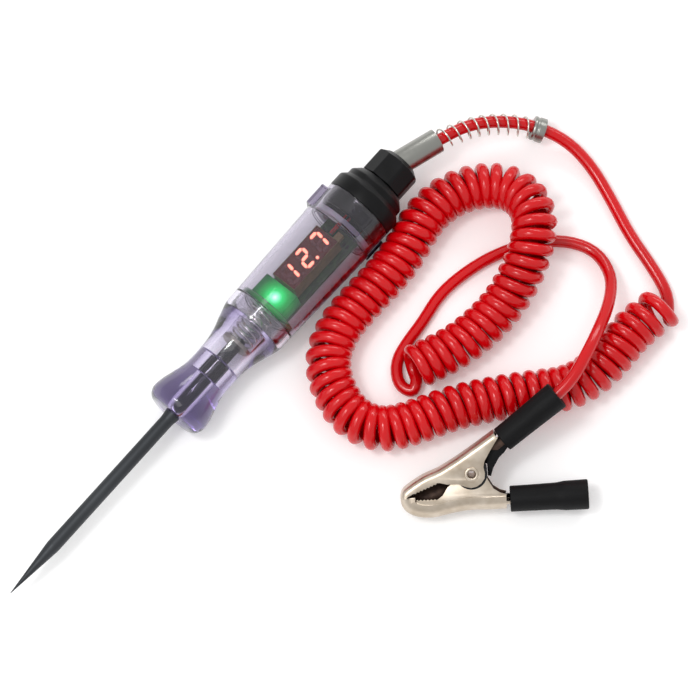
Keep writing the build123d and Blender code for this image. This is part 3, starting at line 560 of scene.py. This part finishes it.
# Moulded black ABS: nearly black, satin, with a faint moulded texture that breaks up the gloss.
black_abs, tree = new_material("satin_black_abs")
spot = add_node(tree, "ShaderNodeTexCoord").outputs["Object"]
texture = add_node(tree, "ShaderNodeTexNoise", {"Vector": spot, "Scale": per(0.45), "Detail": 3})
wear = add_node(tree, "ShaderNodeTexNoise", {"Vector": spot, "Scale": per(5.0), "Detail": 4})
shade = add_node(tree, "ShaderNodeValToRGB", {"Fac": wear}, stops=((0.3, "#070708"), (0.75, "#0d0d0f")))
moulded = add_node(tree, "ShaderNodeBsdfPrincipled", {
    "Base Color": shade,
    "Roughness": add_node(tree, "ShaderNodeMapRange", {"Value": wear, "To Min": 0.28, "To Max": 0.46}),
    "Specular IOR Level": 0.2,
    "Normal": add_node(tree, "ShaderNodeBump", {"Height": texture, "Distance": MM * 0.03, "Strength": 0.5}),
})
add_node(tree, "ShaderNodeOutputMaterial", {"Surface": moulded})

cap_front = COLLAR_END - 6.0
cap_outline = softened([
    (cap_front, COLLAR_BORE - 1.7), (cap_front, COLLAR_BORE - 0.1), (COLLAR_END + 0.02, COLLAR_BORE - 0.1),
    (COLLAR_END + 0.02, COLLAR_R), (FLANGE_END, COLLAR_R),
    (FLANGE_END + COLLAR_R - CAP_STEP_R, CAP_STEP_R),
    (CAP_END - (CAP_STEP_R - CAP_NECK_R), CAP_STEP_R), (CAP_END, CAP_NECK_R), (CAP_END, THREAD_R + 0.05),
    (THREAD_END, THREAD_R + 0.05), (THREAD_END, CAP_NECK_R), (COLLAR_END, CAP_NECK_R),
    (COLLAR_END, COLLAR_BORE - 1.7), (cap_front, COLLAR_BORE - 1.7),
], 0.4)
end_cap = turned("end_cap_moulding", cap_outline[:-1], "root", black_abs, TESTER, 160, True)
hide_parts("end_cap")


def eight_sided(angle, r):
    """Radius of the nut's flats, with its corners eased, where it isn't already smaller."""
    half = pi / NUT_SIDES
    away = abs((angle + half) % (2 * half) - half)
    flat = NUT_CORNER_R * cos(half) / cos(away)
    return min(r, flat, NUT_CORNER_R - 0.18)


FERRULE_R = 4.3
FERRULE_IN = 3.2
FERRULE_OUT = 14.4
FERRULE_LEAN = Matrix.Rotation(radians(-16.5), 4, "Z") @ Matrix.Rotation(radians(3.5), 4, "Y")
FERRULE = TESTER @ Matrix.Translation(MM * Vector((NUT_END, 0, 0))) @ FERRULE_LEAN
FERRULE = FERRULE @ Matrix.Translation(MM * Vector((-FERRULE_IN, 0, 0)))

nut_rows = [(CAP_END + 0.05, NUT_CORNER_R - 0.9), (CAP_END + 0.5, NUT_CORNER_R)]
nut_rows += [(CAP_END + 0.5 + 0.8 * i, NUT_CORNER_R) for i in range(1, 11)]
nut_rows += [(NUT_END - 2.0 + 0.2 * i, NUT_CORNER_R - 0.3 * i) for i in range(1, 10)]
nut_outline = [(CAP_END - 2.7, 2.2), (CAP_END - 2.7, THREAD_R), (CAP_END, THREAD_R)]
nut_outline += [(s, r, eight_sided) for s, r in nut_rows]
nut_outline += softened([
    (NUT_END - 0.1, NUT_MOUTH_R + 0.1), (NUT_END, FERRULE_R + 0.45), (NUT_END - 2.2, FERRULE_R + 0.35),
    (NUT_END - 2.9, 2.2),
], 0.2)
gland_nut = turned("gland_nut_moulding", nut_outline, "root", black_abs, TESTER, 240, True, sharp=28)
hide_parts("gland_nut")


# ---- ferrule: nickel-plated tube out of the gland nut --------------------------------------
# A drawn nickel-plated ferrule leans out of the nut. It is crimped on the cord inside, and a
# light wire spring with a nickel-plated collar at its end keeps the cord from kinking.
CORD_D = 4.2
FERRULE_LENGTH = FERRULE_IN + FERRULE_OUT

# Nickel plate on drawn steel: a soft mirror with faint turning lines round it.
nickel_plate, tree = new_material("satin_nickel_plate")
spot = add_node(tree, "ShaderNodeTexCoord").outputs["Object"]
lines_at = add_node(tree, "ShaderNodeMapping", {"Vector": spot, "Scale": [per(0.4), per(12.0), per(12.0)]})
lines = add_node(tree, "ShaderNodeTexNoise", {"Vector": lines_at, "Scale": 1.0, "Detail": 3})
plate = add_node(tree, "ShaderNodeBsdfPrincipled", {
    "Base Color": linear("#989893"), "Metallic": 1.0,
    "Roughness": add_node(tree, "ShaderNodeMapRange", {"Value": lines, "To Min": 0.24, "To Max": 0.4}),
    "Normal": add_node(tree, "ShaderNodeBump", {"Height": lines, "Distance": MM * 0.012, "Strength": 0.6}),
})
add_node(tree, "ShaderNodeOutputMaterial", {"Surface": plate})
ferrule_outline = softened([
    (0, CORD_D / 2 + 0.05), (0, FERRULE_R), (FERRULE_LENGTH, FERRULE_R), (FERRULE_LENGTH, FERRULE_R - 0.4),
    (8.0, FERRULE_R - 0.4), (8.0, CORD_D / 2 + 0.05), (0, CORD_D / 2 + 0.05),
], 0.25)
ferrule = turned("cord_ferrule_tube", ferrule_outline[:-1], "root", nickel_plate, FERRULE, 96, True)
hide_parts("cord_ferrule")


# ---- cord: red PVC lead, curly cord and tail ------------------------------------------------
# One length of round red PVC cord runs from the ferrule to the clip. Its middle was wound hot
# on a rod, so it springs back into close turns. It lies on the bench and is crimped in the clip.
ON_BENCH = CORD_D / 2
IN_COIL = 7.9
LEAD = (
    (118.4, -9.4, 11.9), (127.2, -16.8, 9.0), (133.6, -26.2, 6.4), (136.8, -37.0, 4.1),
    (135.6, -48.6, 2.5), (131.2, -61.0, ON_BENCH), (126.0, -73.6, ON_BENCH),
    (122.8, -86.0, ON_BENCH), (118.8, -97.4, ON_BENCH), (111.6, -103.0, 2.9),
)
COIL = (
    (113.4, -99.4, IN_COIL), (101.0, -96.6, IN_COIL), (89.7, -97.6, IN_COIL),
    (79.2, -97.2, IN_COIL), (69.6, -93.6, IN_COIL), (60.6, -85.2, IN_COIL),
    (50.6, -77.2, IN_COIL), (39.6, -69.2, IN_COIL), (27.6, -63.2, IN_COIL),
    (18.0, -56.8, IN_COIL), (14.2, -46.8, IN_COIL), (17.2, -35.4, IN_COIL),
    (24.4, -25.8, IN_COIL), (35.4, -21.8, IN_COIL), (48.0, -21.6, IN_COIL),
    (60.2, -22.0, IN_COIL), (71.6, -20.9, IN_COIL), (83.2, -17.8, IN_COIL),
    (95.0, -19.2, IN_COIL), (105.4, -25.4, IN_COIL), (111.2, -34.6, 9.4), (108.8, -45.8, 14.4),
    (99.4, -53.0, 15.2), (88.4, -57.0, 11.6), (77.0, -58.6, 8.2), (64.8, -58.0, IN_COIL),
    (52.4, -55.2, IN_COIL), (40.6, -49.8, IN_COIL),
)
TAIL = (
    (35.6, -55.0, 2.6), (34.6, -49.2, ON_BENCH), (40.2, -43.2, ON_BENCH), (48.6, -41.6, ON_BENCH),
    (56.6, -41.0, ON_BENCH), (67.6, -38.8, ON_BENCH),
    (79.2, -40.2, ON_BENCH), (91.0, -43.8, ON_BENCH), (102.0, -50.2, ON_BENCH),
    (110.4, -58.4, ON_BENCH), (114.4, -68.6, 2.3), (110.6, -79.0, 5.4), (101.4, -85.6, 12.6),
    (90.4, -90.0, 19.4), (79.4, -93.4, 22.8), (68.430, -95.658, 21.789), (58.749, -93.682, 19.259),
)
FERRULE_ROOT = (88.69, 0.36, 14.27)
MOUTH_AHEAD = (108.428, -5.492, 13.574)
TURN_R = 5.8
PITCH = 4.35          # between turns on a straight stretch
INNER_PITCH = 2.8     # turns press into each other on the inside of a bend
FIRST_TURNS = 7.0     # length over which the first turns are drawn out by the lead
WINDING_STEP = 0.2
STARTS_AT = radians(-25)
PER_TURN = 14
LEAVES_AT = radians(-45)   # the last turn lets the cord go low down, beside the coil

# Glossy extruded PVC: saturated red, with a clear gloss and slight waves from extrusion.
red_pvc, tree = new_material("glossy_red_pvc")
spot = add_node(tree, "ShaderNodeTexCoord").outputs["Object"]
waves = add_node(tree, "ShaderNodeTexNoise", {"Vector": spot, "Scale": per(6.0), "Detail": 2})
depth = add_node(tree, "ShaderNodeTexNoise", {"Vector": spot, "Scale": per(25.0), "Detail": 1})
shade = add_node(tree, "ShaderNodeValToRGB", {"Fac": depth}, stops=((0.3, "#bf0007"), (0.7, "#cf020c")))
skin = add_node(tree, "ShaderNodeBsdfPrincipled", {
    "Base Color": shade,
    "Roughness": add_node(tree, "ShaderNodeMapRange", {"Value": waves, "To Min": 0.12, "To Max": 0.22}),
    "IOR": 1.5, "Specular IOR Level": 0.46,
    "Subsurface Weight": 0.05, "Subsurface Radius": (0.9, 0.12, 0.1), "Subsurface Scale": MM,
    "Normal": add_node(tree, "ShaderNodeBump", {"Height": waves, "Distance": MM * 0.05, "Strength": 0.5}),
})
add_node(tree, "ShaderNodeOutputMaterial", {"Surface": skin})


def read_route(points):
    """Points along the smooth route that a cord's or a coil's centre follows."""
    route = wire_curve("route", points, 0.0, "root", red_pvc, order=3, smooth=12)
    mesh = bpy.data.meshes.new_from_object(route)
    made = [vertex.co / MM for vertex in mesh.vertices]
    bpy.data.meshes.remove(mesh)
    bpy.data.objects.remove(route)
    return made


def along(route, step):
    """(place, direction, distance) at even steps along a route."""
    made, reached, wanted = [], 0.0, 0.0
    for a, b in zip(route, route[1:]):
        length = (b - a).length
        while wanted <= reached + length and length > 0:
            made.append((a.lerp(b, (wanted - reached) / length), (b - a) / length, wanted))
            wanted += step
        reached += length
    return made


def wound(route):
    """The turns of the curly cord, closer on the inside of a bend than on its outside."""
    centres = [Vector(spot) for spot, _, _ in along(route, WINDING_STEP)]
    end = len(centres) - 1
    ahead = [(centres[min(i + 12, end)] - centres[max(i - 12, 0)]).normalized() for i in range(end + 1)]
    made, angle, due = [], STARTS_AT, STARTS_AT
    radius = TURN_R / cos(pi / PER_TURN)
    for i, (centre, forward) in enumerate(zip(centres, ahead)):
        bend = ahead[min(i + 20, end)].angle(ahead[max(i - 20, 0)], 0) / (40 * WINDING_STEP)
        loose = 1.0 + 0.035 * sin(i * 0.047) + 0.03 * sin(i * 0.019 + 1)
        pitch = max(PITCH * loose, INNER_PITCH / max(1 - TURN_R * bend, 0.35))
        if i * WINDING_STEP < FIRST_TURNS:
            pitch *= 1.35
        left = Vector((0, 0, 1)).cross(forward).normalized()
        up = forward.cross(left)
        while angle >= due:
            made.append((due, centre + left * (radius * cos(due)) + up * (radius * sin(due))))
            due += 2 * pi / PER_TURN
        angle += 2 * pi * WINDING_STEP / pitch
    last = (angle - LEAVES_AT) // (2 * pi) * 2 * pi + LEAVES_AT
    return [point for due, point in made if due <= last]


turns = wound(read_route(COIL))
cord_points = [FERRULE_ROOT, MOUTH_AHEAD, *LEAD, *turns, *TAIL]
cord = wire_curve("red_curly_cord", cord_points, CORD_D, "root", red_pvc, order=3, smooth=4)
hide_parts("lead_cord", "curly_cord", "tail_cord")


# ---- relief spring and its end collar --------------------------------------------------------
# An open spring of thin bright wire starts inside the ferrule and ends in a pressed nickel
# collar. The cord bears on its upper side.
RELIEF_WIRE = 0.6
RELIEF_R = 3.85 - RELIEF_WIRE / 2
RELIEF_TURNS = 10
RELIEF_OUT = 35.0
RELIEF_SIDE = 0.9
COLLAR_LENGTH = 4.2

def route_frame(route, distance, aside=0.0):
    """A place along a route with x ahead, moved to the right by a distance."""
    spot, forward, _ = min(along(route, 0.5), key=lambda each: abs(each[2] - distance))
    left = Vector((0, 0, 1)).cross(forward).normalized()
    up = forward.cross(left)
    turn = Matrix((forward, left, up)).transposed().to_4x4()
    return Matrix.Translation(MM * (spot - left * aside)) @ turn


lead_route = read_route([FERRULE_ROOT, MOUTH_AHEAD, *LEAD])
first, last = FERRULE_LENGTH - 2, FERRULE_LENGTH + RELIEF_OUT + 0.5
spots = [spot for spot in along(lead_route, 0.25) if first < spot[2] < last]
relief_points, shown = [], len(spots) - 1
for i in range(RELIEF_TURNS * 16 + 1):
    spot, forward, distance = spots[round(shown * i / (RELIEF_TURNS * 16))]
    left = Vector((0, 0, 1)).cross(forward).normalized()
    up = forward.cross(left)
    aside = RELIEF_SIDE * min(max((distance - FERRULE_LENGTH) / 8, 0), 1)
    angle = 2 * pi * i / 16
    relief_points.append(spot - left * aside + left * (RELIEF_R * cos(angle)) + up * (RELIEF_R * sin(angle)))
relief = wire_curve("relief_spring_wire", relief_points, RELIEF_WIRE, "root", nickel_wire)
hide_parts("relief_spring")

collar_outline = softened([
    (-2.1, 2.0), (-2.1, 4.1), (-1.3, 4.3), (-1.0, 4.0), (-0.4, 4.0), (-0.1, 4.3), (2.1, 4.3), (2.1, 2.0),
    (-2.1, 2.0),
], 0.2)
collar_place = route_frame(lead_route, FERRULE_LENGTH + RELIEF_OUT + COLLAR_LENGTH / 2, 0.5)
collar = turned("relief_end_collar", collar_outline[:-1], "root", nickel_plate, collar_place, 72, True)
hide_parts("spring_collar")


# ---- ground clip: two pressed levers --------------------------------------------------------
# Spring clip of nickel-plated sheet steel. Each lever is cut, pressed to a channel with a
# rounded back and toothed at the jaw, and the two hinge on a hollow rivet.
CLIP = Matrix.Translation(MM * Vector((26.5, -89.0, 10.3)))
CLIP = CLIP @ Matrix.Rotation(radians(-48.63), 4, "Z") @ Matrix.Rotation(radians(23.0), 4, "X")
SHEET = 0.8
UPPER_HALF = 5.3
LOWER_HALF = UPPER_HALF - SHEET - 0.12
RIVET_HOLE_R = 1.55

# Warm grey nickel plate over pressed steel: semi-bright, cloudy, with fine scuffs. The brown
# cast in its hollows is painted shade, given by the second material.
nickel_sheet, tree = new_material("pressed_nickel_plated_steel")
spot = add_node(tree, "ShaderNodeTexCoord").outputs["Object"]
cloud = add_node(tree, "ShaderNodeTexNoise", {"Vector": spot, "Scale": per(5.0), "Detail": 3})
scuffs_at = add_node(tree, "ShaderNodeMapping", {"Vector": spot, "Scale": [per(2.25), per(0.25), per(0.25)]})
scuffs = add_node(tree, "ShaderNodeTexNoise", {"Vector": scuffs_at, "Scale": 1.0, "Detail": 2})
shade = add_node(tree, "ShaderNodeValToRGB", {"Fac": cloud}, stops=((0.3, "#b8a996"), (0.7, "#d3c7b8")))
plate = add_node(tree, "ShaderNodeBsdfPrincipled", {
    "Base Color": shade,
    "Metallic": 1.0,
    "Roughness": add_node(tree, "ShaderNodeMapRange", {"Value": cloud, "To Min": 0.28, "To Max": 0.42}),
    "Normal": add_node(tree, "ShaderNodeBump", {"Height": scuffs, "Distance": MM * 0.012, "Strength": 0.5}),
})
add_node(tree, "ShaderNodeOutputMaterial", {"Surface": plate})

# Inside the channels the steel is painted a dull dark brown as shade, with a faint mottle.
shade_painted_steel, tree = new_material("steel_painted_brown_as_shade")
spot = add_node(tree, "ShaderNodeTexCoord").outputs["Object"]
shade_mottle = add_node(tree, "ShaderNodeTexNoise", {"Vector": spot, "Scale": per(2.5), "Detail": 3})
shade = add_node(tree, "ShaderNodeValToRGB", {"Fac": shade_mottle}, stops=((0.3, "#3a2a24"), (0.7, "#5c473c")))
brown = add_node(tree, "ShaderNodeBsdfPrincipled", {
    "Base Color": shade,
    "Metallic": 0.6, "Roughness": 0.55,
})
add_node(tree, "ShaderNodeOutputMaterial", {"Surface": brown})


def toothed(start, end, depth, count):
    """A straight edge cut into teeth."""
    a, b = Vector(start), Vector(end)
    out = (b - a).normalized().orthogonal() * depth
    made = []
    for i in range(count):
        made += [tuple(a.lerp(b, i / count)), tuple(a.lerp(b, (i + 0.5) / count) + out)]
    return made + [end]


def pressed_lever(name, back, front, half, fold_in, fold_across, ledge, body, hole_r=0.0, place=CLIP):
    """Two cheeks joined by a rounded back. Both lines run clockwise, and front joins back's ends."""
    outward = []
    for i in range(len(back)):
        before, after = Vector(back[max(i - 1, 0)]), Vector(back[min(i + 1, len(back) - 1)])
        run = (after - before).normalized()
        outward.append(Vector((-run.y, run.x)))
    arc = []
    for turn in (i * pi / 16 for i in range(9)):
        arc.append((fold_in * (1 - cos(turn)), half - fold_across + (fold_across + ledge) * sin(turn)))
    if ledge:
        arc.append((fold_in + ledge, half))
    rows = [(inset, -c) for inset, c in reversed(arc)] + arc[1 if arc[0][1] < 0.01 else 0:]
    points, faces = [], []
    for inset, c in rows:
        points += [(*(Vector(p) - n * inset), c) for p, n in zip(back, outward)]
    n = len(back)
    for row in range(len(rows) - 1):
        for i in range(n - 1):
            first = row * n + i
            faces.append((first, first + n, first + 1 + n, first + 1))
    hole = [(hole_r * cos(pi * i / 16), hole_r * sin(pi * i / 16)) for i in range(32 if hole_r else 0)]
    for row, side in ((len(rows) - 1, 1), (0, -1)):
        c = rows[row][1]
        rim = [points[row * n + i] for i in range(n)] + [(*p, c) for p in front]
        cut = [(*p, c) for p in hole]
        extra = range(len(points), len(points) + len(front) + len(cut))
        index = [row * n + i for i in range(n)] + list(extra)
        points += rim[n:] + cut
        flat = [[Vector((x, y, 0)) for x, y, _ in line] for line in (rim, cut) if line]
        for corners in tessellate_polygon(flat):
            a, b, d = (Vector(points[index[k]]) for k in corners)
            facing = (b - a).cross(d - a).z * side > 0
            faces.append(tuple(index[k] for k in (corners if facing else reversed(corners))))
    made = new_piece(name, points, faces, body, nickel_sheet, place, sharp=32)
    # The inner faces take the dark brown painted shade as their second material.
    made.data.materials.append(shade_painted_steel)
    thick = made.modifiers.new("sheet", "SOLIDIFY")
    thick.thickness, thick.offset, thick.material_offset = MM * SHEET, -1, 1
    rim = made.modifiers.new("rim", "BEVEL")
    rim.width, rim.segments, rim.angle_limit, rim.limit_method = MM * 0.12, 2, radians(50), "ANGLE"
    return made


upper_back = flowing([
    (-23.8, -8.4), (-23.2, -6.3), (-21.2, -4.4), (-16.4, -1.2), (-11.2, 1.2), (-5.6, 4.7),
    (-0.2, 8.5), (7.2, 14.0),
], 5)
upper_front = [
    (8.9, 12.6), (7.6, 10.4), (5.9, 7.4), (4.3, 4.4), (4.0, 2.4), (4.5, 0.4), (4.4, -1.4),
    (3.4, -3.0), (1.8, -4.2),
    (0.0, -4.65), (-1.6, -4.4), (-4.6, -3.4), (-8.2, -3.5), (-10.6, -3.0),
]
upper_front += toothed((-11.6, -3.0), (-19.4, -6.6), 0.4, 7) + [(-21.4, -7.9)]
upper_lever = pressed_lever(
    "clip_upper_pressing", upper_back, upper_front, UPPER_HALF, 2.0, 2.0, 0.0, "root", hole_r=RIVET_HOLE_R,
)
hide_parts("clip_upper_lever")

lower_back = flowing([
    (12.0, -12.4), (6.6, -12.7), (-0.2, -12.9), (-6.0, -13.9), (-11.7, -15.3), (-15.5, -15.5),
    (-18.8, -15.0),
    (-21.6, -13.6), (-23.3, -11.4), (-23.8, -8.75),
], 5)
lower_front = toothed((-18.8, -9.3), (-11.6, -9.0), 0.4, 6)
lower_front += [
    (-9.6, -7.4), (-8.0, -4.6), (-5.6, -2.4), (-3.6, 2.0), (-2.6, 3.6), (0.0, 4.3), (2.4, 3.4), (3.8, 1.6),
    (5.6, -2.2), (7.4, -5.0), (9.6, -6.4), (11.9, -7.0),
]
lower_lever = pressed_lever(
    "clip_lower_pressing", lower_back, lower_front, LOWER_HALF, 4.8, LOWER_HALF, 0.22, "lower_jaw",
    hole_r=RIVET_HOLE_R,
)
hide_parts("clip_lower_lever")


def on_handle(start, angle):
    """A place with x along a handle, from where its tang starts."""
    return CLIP @ Matrix.Translation(MM * Vector((*start, 0))) @ Matrix.Rotation(radians(angle), 4, "Z")


# Each lever runs on into a narrower channel, the tang, which the sleeve grips.
UPPER_HANDLE = on_handle((8.6, 9.6), 39.4)
LOWER_HANDLE = on_handle((10.4, -9.3), 3.5)
upper_tang = pressed_lever(
    "clip_upper_tang", [(-3.5 + i, 1.5) for i in range(21)], [(17.0, -1.5), (-1.0, -1.5), (-3.4, 0.6)],
    2.8, 1.2, 1.2, 0.0, "root", place=UPPER_HANDLE,
)
# Painted shade: the upper tang's outside takes the dark brown too, as shade between cheek and sleeve.
upper_tang.material_slots[0].material = shade_painted_steel
lower_tang = pressed_lever(
    "clip_lower_tang", [(25.0 - i, -1.5) for i in range(28)], [(-2.0, 1.5), (25.0, 1.5)],
    2.8, 1.2, 1.2, 0.0, "lower_jaw", place=LOWER_HANDLE,
)

# Inside its jaw the lower lever carries a dark brown sheet between the cheeks, which fills the jaw's opening
# as painted shade.
jaw_shade_outline = [
    (-20.6, -9.2), (-17.6, -6.4), (-13.6, -4.6), (-9.6, -3.6), (-6.6, -4.0), (-5.0, -7.0), (-7.0, -10.6),
    (-12.4, -12.4), (-17.4, -12.6),
]
jaw_shade_ring = flowing(jaw_shade_outline + jaw_shade_outline[:1], 4)[:-1]
jaw_shade_sheet = new_piece(
    "clip_jaw_shade_sheet", [(x, y, -1.2) for x, y in jaw_shade_ring], [tuple(reversed(range(len(jaw_shade_ring))))],
    "lower_jaw", shade_painted_steel, CLIP,
)
thick = jaw_shade_sheet.modifiers.new("sheet", "SOLIDIFY")
thick.thickness, thick.offset = MM * SHEET, 0


# ---- rivet and clip spring ------------------------------------------------------------------
# A hollow nickel-plated rivet is rolled over both cheeks, and a blackened torsion spring round
# it pushes the handles apart. A thin black disc between each pair of cheeks is painted shade.
rivet_outline = softened([
    (-5.5, 1.3), (-5.9, 1.7), (-5.75, 2.3), (-5.3, 2.5), (-5.3, 1.5), (5.3, 1.5), (5.3, 2.5),
    (5.75, 2.3), (5.9, 1.7),
    (5.5, 1.3), (4.6, 1.15), (-4.6, 1.15), (-5.5, 1.3),
], 0.25)
STANDING = Matrix.Rotation(radians(-90), 4, "Y")
rivet = turned("clip_hollow_rivet", rivet_outline[:-1], "root", nickel_sheet, CLIP @ STANDING, 64, True)
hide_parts("clip_rivet")

SHADE_DISC_THICKNESS = 0.1
SHADE_DISC_R = 5.35
# Painted shade: each black disc shows as a dark crescent round the upper lever's lobe.
for face, at in (("near", LOWER_HALF + 0.01), ("far", -LOWER_HALF - 0.11)):
    outline = [(at, 1.7), (at, SHADE_DISC_R), (at + SHADE_DISC_THICKNESS, SHADE_DISC_R), (at + SHADE_DISC_THICKNESS, 1.7)]
    shade_disc = turned(f"clip_pivot_shade_disc_{face}", outline, "root", black_oxide, CLIP @ STANDING, 64, True)
refinish("clip_spring", black_oxide)

# A crimped tube holds the cord's end at the clip. Inside the barrel, a red insulated wire joins
# the cord's ferrule to the board.
refinish("cord_crimp", nickel_plate)
refinish("inner_wire", red_pvc)


# ---- handle sleeves ----------------------------------------------------------------------------
# Soft black vinyl tubes pushed over the handles. They are matt, with faint lengthwise creases,
# and cut square at their ends.
black_vinyl, tree = new_material("matt_black_vinyl")
spot = add_node(tree, "ShaderNodeTexCoord").outputs["Object"]
creases_at = add_node(tree, "ShaderNodeMapping", {"Vector": spot, "Scale": [per(9.6), per(1.6), per(1.6)]})
creases = add_node(tree, "ShaderNodeTexNoise", {"Vector": creases_at, "Scale": 1.0, "Detail": 3})
skin = add_node(tree, "ShaderNodeTexNoise", {"Vector": spot, "Scale": per(0.5), "Detail": 2})
# Painted shade: the colour follows the creases' height, a touch darker in their hollows.
shade = add_node(tree, "ShaderNodeValToRGB", {"Fac": creases}, stops=((0.3, "#060607"), (0.7, "#0e0e10")))
vinyl = add_node(tree, "ShaderNodeBsdfPrincipled", {
    "Base Color": shade,
    "Roughness": add_node(tree, "ShaderNodeMapRange", {"Value": skin, "To Min": 0.5, "To Max": 0.7}),
    "Specular IOR Level": 0.18,
    "Normal": add_node(tree, "ShaderNodeBump", {"Height": creases, "Distance": MM * 0.12, "Strength": 0.6}),
})
add_node(tree, "ShaderNodeOutputMaterial", {"Surface": vinyl})


def sleeve(name, place, outline, body):
    """A vinyl tube along a handle, flattened a little where the channel's corners press it out."""
    def pressed(turn, r):
        return r * (1 - SLEEVE_DENT * (1 - cos(4 * turn)) / 2)
    rows = [(s, r, pressed) for s, r in softened(outline, 0.6)[:-1]]
    made = turned(name, rows, body, black_vinyl, place, 96, True)
    return made


SLEEVE_DENT = 0.03
upper_tube = sleeve("upper_handle_sleeve", UPPER_HANDLE, [
    (2.2, 3.7), (2.2, 4.45), (9.0, 4.55), (18.0, 4.75), (26.2, 4.95), (26.2, 2.2), (25.3, 2.2),
    (25.3, 4.1),
    (2.2, 3.7),
], "root")
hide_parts("upper_sleeve")
lower_tube = sleeve("lower_handle_sleeve", LOWER_HANDLE, [
    (2.7, 3.6), (2.7, 4.4), (10.0, 4.45), (18.5, 4.6), (21.0, 5.0), (29.1, 5.1), (29.1, 0.0), (28.2, 0.0),
    (28.2, 4.2), (2.7, 3.6),
], "lower_jaw")
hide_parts("lower_sleeve")

# The upper sleeve's black vinyl tongue tucks between the cheeks over the spring's leg, and
# also stands in as painted shade for the dark gap between the cheeks there.
shade_tongue = pressed_lever(
    "upper_sleeve_shade_tongue", [(4.5, 3.4), (5.4, 7.2), (8.0, 10.6), (9.6, 12.6)],
    [(12.6, 9.4), (11.0, 7.0), (9.2, 5.2), (7.4, 1.8), (6.6, -1.0), (5.6, -0.8)],
    2.6, 0.8, 0.8, 0.0, "root",
)
for place in shade_tongue.material_slots:
    place.material = black_vinyl


# ---- bench, lights and camera -------------------------------------------------------------------
# A matt white bench top, large soft lights overhead and a long lens above the object.
bench_white, tree = new_material("matt_white_laminate")
white = add_node(tree, "ShaderNodeBsdfPrincipled", {
    "Base Color": linear("#f7f7f7"), "Roughness": 0.85, "Specular IOR Level": 0.2,
    "Emission Color": linear("#ffffff"), "Emission Strength": 0.14,
})
add_node(tree, "ShaderNodeOutputMaterial", {"Surface": white})
mesh = bpy.data.meshes.new("bench_top")
mesh.from_pydata([(-3, -3, 0), (3, -3, 0), (3, 3, 0), (-3, 3, 0)], [], [(0, 1, 2, 3)])
mesh.materials.append(bench_white)
bench = bpy.data.objects.new("bench_top", mesh)
bpy.context.scene.collection.objects.link(bench)

AIM = MM * Vector((32.1, -27.1, 8.0))
VIEW_TURN = radians(48.63)
NORTH = Vector((sin(VIEW_TURN), cos(VIEW_TURN), 0))   # away from the camera, along the floor
EAST = Vector((cos(VIEW_TURN), -sin(VIEW_TURN), 0))


def softbox(name, east, north, height, width, depth, power):
    """A soft light that faces the object, from metres east, north and above it."""
    light = bpy.data.lights.new(name, "AREA")
    light.shape, light.size, light.size_y, light.energy = "RECTANGLE", width, depth, power
    made = bpy.data.objects.new(name, light)
    bpy.context.scene.collection.objects.link(made)
    made.location = AIM + EAST * east + NORTH * north + Vector((0, 0, height))
    made.rotation_euler = (AIM - made.location).to_track_quat("-Z", "Y").to_euler()
    made.visible_camera = False
    return made


softbox("overhead_softbox", -0.5, -0.3, 1.2, 0.9, 0.9, 4.0)
softbox("small_softbox", -0.42, -0.05, 1.15, 0.24, 0.24, 3.0)
softbox("back_softbox", 0.35, 1.1, 0.8, 1.2, 0.3, 5.0)

world = bpy.data.worlds.new("studio")
bpy.context.scene.world = world
world.use_nodes = True
tree = world.node_tree
tree.nodes.clear()
sky = add_node(tree, "ShaderNodeBackground", {"Color": linear("#ffffff"), "Strength": 0.74})
add_node(tree, "ShaderNodeOutputWorld", {"Surface": sky})
bpy.context.scene.view_settings.view_transform = "Standard"

lens = bpy.data.cameras.new("camera")
lens.lens, lens.sensor_width, lens.clip_end = 465, 36, 20
camera = bpy.data.objects.new("camera", lens)
bpy.context.scene.collection.objects.link(camera)
LOOK_DOWN = radians(75)
CAMERA_AWAY = 3.0
camera.location = AIM + CAMERA_AWAY * (Vector((0, 0, sin(LOOK_DOWN))) - NORTH * cos(LOOK_DOWN))
camera.rotation_euler = (AIM - camera.location).to_track_quat("-Z", "Y").to_euler()
bpy.context.scene.camera = camera

bpy.context.view_layer.update()
